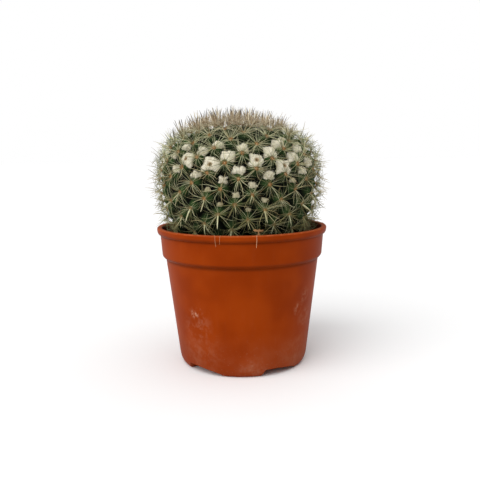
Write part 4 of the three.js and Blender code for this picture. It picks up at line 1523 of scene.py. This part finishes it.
def petal_mesh(name, columns=22, rows=14):
    """A dry curled petal that leans from the lip's top against the needles by its stalk."""
    points = []
    wide, tall, layer = PETAL_NOISE
    for row, (y, z) in enumerate(bend(PETAL_FOOT, PETAL_CORNER, PETAL_TIP, rows)):
        along = row / rows
        opened = min(1, max(0, along - PETAL_STALK_END) / PETAL_WIDENS)
        for column in range(columns + 1):
            across = column / columns * 2 - 1
            ragged = noise.noise(Vector((across * wide, along * tall, layer)))
            half = PETAL_HALF * (PETAL_STALK_WIDTH + (1 - PETAL_STALK_WIDTH) * opened)
            half *= 1 + PETAL_RAGGED * ragged
            curl = PETAL_CURL * across ** 2 * along ** 2
            notch = PETAL_NOTCH * ragged * along ** 2
            points.append((PETAL_X + across * half, y + curl, z - PETAL_DROOP * curl + notch))
    faces = []
    for row in range(rows):
        for column in range(columns):
            low = row * (columns + 1) + column
            high = low + columns + 1
            faces.append((low, low + 1, high + 1, high))
    mesh = closed_mesh(name, points, faces)
    with edited(mesh) as sheet:
        bmesh.ops.solidify(sheet, geom=sheet.faces, thickness=PETAL_THICKNESS)
    return mesh


class BuildLitter(bpy.types.Operator):
    """Leans a dry petal on the lip and drapes stray threads over it"""

    bl_idname = "cactus.build_litter"
    bl_label = "Build Litter"

    def execute(self, context):
        settings = context.scene.cactus_litter
        paths = [(draped_thread(*thread), share) for *thread, share in THREADS]
        threads = tube_mesh("stray_threads", paths, settings.thread_radius)
        if not len(threads.polygons):
            raise RuntimeError("the stray threads are empty")
        carry(show(threads, thread_finish(settings)), "plant")
        carry(show(petal_mesh("dry_petal"), dry_finish(settings)), "plant")
        return {"FINISHED"}


# Wool


def make_draw(seed):
    """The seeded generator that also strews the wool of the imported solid."""
    mask = 0xFFFFFFFF
    state = seed & mask

    def draw():
        nonlocal state
        state = (state + 0x6D2B79F5) & mask
        t = ((state ^ (state >> 15)) * (1 | state)) & mask
        t = ((t + (((t ^ (t >> 7)) * (61 | t)) & mask)) & mask) ^ t
        return (t ^ (t >> 14)) / 2 ** 32

    return draw


def wool_size(tip, z, luck):
    """Size of the tuft in the hollow above a tubercle: 0 for none, and 1 for the largest."""
    off = abs(z - WOOL_BAND_Z) / WOOL_BAND_HALF
    if TIPS.point[tip][1] < FRONT_SIDE_Y:
        return FRONT_WOOL.get(tip, 0)
    if off < 1 and luck < BAND_CHANCE:
        return 1 - BAND_FALL * off ** 2 - BAND_SPREAD * luck
    if WOOL_LOWEST_Z < z < WOOL_BAND_Z and luck < LOW_CHANCE:
        return LOW_SIZE + LOW_SPREAD * luck
    return 0


def wool_sites():
    """Hollows that hold wool, each with its tuft's size and the ways to the hollows round it."""
    draw = make_draw(WOOL_SEED)
    owner, joined = join_close_hollows(HOLLOWS, CREASES)
    places = along_direction(joined)
    around = {}
    for i, corners in enumerate(TRIANGLES):
        for corner in corners:
            around.setdefault(corner, set()).add(owner[i])
    sites = {}
    for tip in range(len(TIPS.point)):
        luck = draw()
        if TIPS.z[tip] < LOWEST_AREOLE_Z:
            continue
        rises = {i: (places.point[i] - TIPS.point[tip]) @ TIPS.up[tip] for i in around[tip]}
        above = max(rises, key=rises.get)
        size = wool_size(tip, places.z[above], luck)
        if size:
            sites[above] = (size, tip)
    grooves = {i: [] for i in sites}
    for a, b in CREASES:
        a, b = owner[a], owner[b]
        if a != b:
            for i, j in ((a, b), (b, a)):
                if i in grooves:
                    grooves[i].append(places.point[j] - places.point[i])
    made = []
    for i, (size, tip) in sites.items():
        settled = (TIPS.point[tip] - places.point[i]) * WOOL_SETTLES
        depth = TUBERCLE_DEPTH * places.size[i] * (1 - WOOL_SETTLES) + WOOL_SINK
        point = places.point[i] + settled - places.out[i] * depth
        made.append(SimpleNamespace(point=point, out=places.out[i], right=places.right[i],
                                    up=places.up[i], size=size, grooves=grooves[i]))
    return made


def tuft_outline(site, angles):
    """How far a tuft bulges at each angle: towards the grooves, and unevenly. Its place is the
    seed."""
    draw = np.random.default_rng(int(abs(site.point[0]) * 1e6))
    lobes = np.zeros(len(angles))
    for groove in site.grooves:
        ahead = math.atan2(groove @ site.up, groove @ site.right)
        ahead += draw.uniform(-LOBE_STRAY, LOBE_STRAY)
        turn = (angles - ahead + math.pi) % math.tau - math.pi
        lobes += draw.uniform(*LOBE_REACHES) * np.exp(-((turn / LOBE_WIDTH) ** 2))
    start = draw.uniform(0, DRIFT_RANGE)
    drift = np.array([
        noise.noise(Vector((DRIFT_TURNS * math.cos(angle), DRIFT_TURNS * math.sin(angle), start)))
        for angle in angles])
    return LOBE_SHARE * site.size * np.minimum(lobes, LOBE_LIMIT) + DRIFT_SHARE * drift


def tuft_points(site, settings, columns, rows):
    """Points of one dome of wool, sunk in the middle if it is large, and how far each of them
    lies in that pit."""
    angles = full_turn(columns)
    outline = tuft_outline(site, angles)
    radius = settings.radius * site.size
    stretch = TUFT_STRETCH * (1 - site.size)
    height = settings.height * (TUFT_FLATTEST + (1 - TUFT_FLATTEST) * site.size)
    pit_depth = PIT_DEPTH * height * max(0, site.size - PITTED_SIZE) / (1 - PITTED_SIZE)
    deepest = min(1, pit_depth / FULL_PIT)
    right = site.right * (1 + stretch)
    up = site.up * (1 - stretch)
    bulge, shoulder = TUFT_ROUNDNESS
    points = [site.point + site.out * (height * TUFT_FOOT)]
    pits = [0.0]
    for share in np.linspace(1, 0, rows + 1)[:-1]:
        dome = (1 - share ** bulge) ** shoulder
        pit = math.exp(-((share / PIT_SHARE) ** 2))
        lift = height * (TUFT_EDGE + (1 - TUFT_EDGE) * dome) - pit_depth * pit
        for angle, lobe in zip(angles, outline):
            flat = right * math.cos(angle) + up * math.sin(angle)
            place = site.point + flat * (radius * share * (TUFT_CORE + lobe * share))
            place = place + site.out * lift
            way = site.out + flat * WOOL_SIDEWAYS
            rough = ripple(place, WOOL_LUMP, WOOL_NOISE) * WOOL_ROUGHNESS * (1 - pit)
            points.append(place + way * rough)
            pits.append(pit * deepest)
    points.append(site.point + site.out * (height - pit_depth))
    pits.append(deepest)
    return points, pits


def tuft_mesh(settings, columns=28, rows=11):
    """All the tufts as one mesh of closed domes. Hairs grow where it is marked open: all over
    but in the pits and at the poles."""
    points, faces, opens, pits, ages = [], [], [], [], []
    for site in wool_sites():
        faces += turned_faces(rows, columns, len(points))
        made, pitted = tuft_points(site, settings, columns, rows)
        points += made
        pits += pitted
        opens += [0.0, *[float(pit < CLOSED_PIT) for pit in pitted[1:-1]], 0.0]
        ages += [1 - site.size] * len(made)
    mesh = closed_mesh("wool_tufts", points, faces)
    for label, values in (("open", opens), ("pit", pits), ("age", ages)):
        add_attribute(mesh, label, values)
    return mesh


class BuildWool(bpy.types.Operator):
    """Packs wool into the hollows between the tubercles and raises its hairs"""

    bl_idname = "cactus.build_wool"
    bl_label = "Build Wool"

    def execute(self, context):
        settings = context.scene.cactus_wool
        tufts = tuft_mesh(settings)
        grow(fuzz_tree(), "wool_hairs", tufts.copy(), "plant", Density=settings.density,
             Length=settings.hair_length, Slimness=0.065, Lean=1.0, Bow=0.4, Seed=21,
             Material=wool_finish("wool_hair", settings))
        carry(show(tufts, wool_finish("wool_tuft", settings)), "plant")
        return {"FINISHED"}


# Stage


def make_floor(settings):
    """A wide pale disc under the pot."""
    mesh = bpy.data.meshes.new("floor")
    with edited(mesh) as disc:
        bmesh.ops.create_circle(disc, cap_ends=True, segments=96, radius=FLOOR_SPREAD)
    show(mesh, floor_finish(settings))


def make_sky(settings):
    """Even white light, which the camera sees at full strength."""
    world = bpy.data.worlds.new("studio")
    world.use_nodes = True
    world.node_tree.nodes.clear()
    board = Board(world.node_tree)
    seen = board.node("ShaderNodeLightPath", out="Is Camera Ray")
    strength = settings.sky + seen * (1.0 - settings.sky)
    light = board.node("ShaderNodeBackground", {"Color": (1, 1, 1, 1), "Strength": strength})
    board.node("ShaderNodeOutputWorld", {"Surface": light})
    bpy.context.scene.world = world


def add_light(name, direction, spread, strength):
    """An even light from one side of the studio, soft by its spread."""
    lamp = bpy.data.lights.new(name, "SUN")
    lamp.angle = spread
    lamp.energy = strength
    rig = add_object(name, lamp)
    rig.rotation_euler = Vector(direction).to_track_quat("Z", "Y").to_euler()


def add_camera():
    """The camera in front of the pot, a little above the plant's middle and looking down."""
    lens = bpy.data.cameras.new("camera")
    lens.lens = CAMERA_LENS
    lens.sensor_width = CAMERA_SENSOR
    lens.clip_start = 0.01
    lens.clip_end = 100.0
    camera = add_object("camera", lens)
    camera.matrix_world = (
        Matrix.Translation(CAMERA_PLACE)
        @ Matrix.Rotation(math.pi / 2 + CAMERA_PITCH, 4, "X")
        @ Matrix.Rotation(CAMERA_ROLL, 4, "Z"))
    bpy.context.scene.camera = camera


class BuildStage(bpy.types.Operator):
    """Sets up the pale floor, the soft light and the camera"""

    bl_idname = "cactus.build_stage"
    bl_label = "Build Stage"

    def execute(self, context):
        settings = context.scene.cactus_stage
        make_floor(settings)
        make_sky(settings)
        add_light("key_light", KEY_SIDE, KEY_SPREAD, settings.key)
        add_light("top_light", TOP_SIDE, TOP_SPREAD, settings.overhead)
        add_camera()
        context.scene.view_settings.view_transform = "Standard"
        return {"FINISHED"}


# Panel and registration


class CactusPanel(bpy.types.Panel):
    """Lists what the add-on builds"""

    bl_idname = "VIEW3D_PT_potted_round_cactus"
    bl_label = "Potted Round Cactus"
    bl_space_type = "VIEW_3D"
    bl_region_type = "UI"
    bl_category = "Cactus"

    def draw(self, context):
        for setting, (group, operator) in STEPS.items():
            box = self.layout.box()
            box.operator(operator.bl_idname)
            for name in group.__annotations__:
                box.prop(getattr(context.scene, setting), name)


TIPS = tubercle_tips()
TRIANGLES, HOLLOWS, CREASES = find_hollows(TIPS)

STEPS = {
    "cactus_stage": (StageSettings, BuildStage),
    "cactus_pot": (PotSettings, BuildPot),
    "cactus_soil": (SoilSettings, BuildSoil),
    "cactus_stem": (StemSettings, BuildStem),
    "cactus_needles": (NeedleSettings, BuildNeedles),
    "cactus_wool": (WoolSettings, BuildWool),
    "cactus_litter": (LitterSettings, BuildLitter),
}
CLASSES = (*[made for step in STEPS.values() for made in step], CactusPanel)


def register():
    for made in CLASSES:
        bpy.utils.register_class(made)
    for setting, (group, _) in STEPS.items():
        setattr(bpy.types.Scene, setting, bpy.props.PointerProperty(type=group))


def unregister():
    for setting in STEPS:
        delattr(bpy.types.Scene, setting)
    for made in reversed(CLASSES):
        bpy.utils.unregister_class(made)


def main():
    """Builds every piece in order."""
    register()
    for _, operator in STEPS.values():
        group, name = operator.bl_idname.split(".")
        getattr(getattr(bpy.ops, group), name)()
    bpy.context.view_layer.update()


if __name__ == "__main__":
    main()
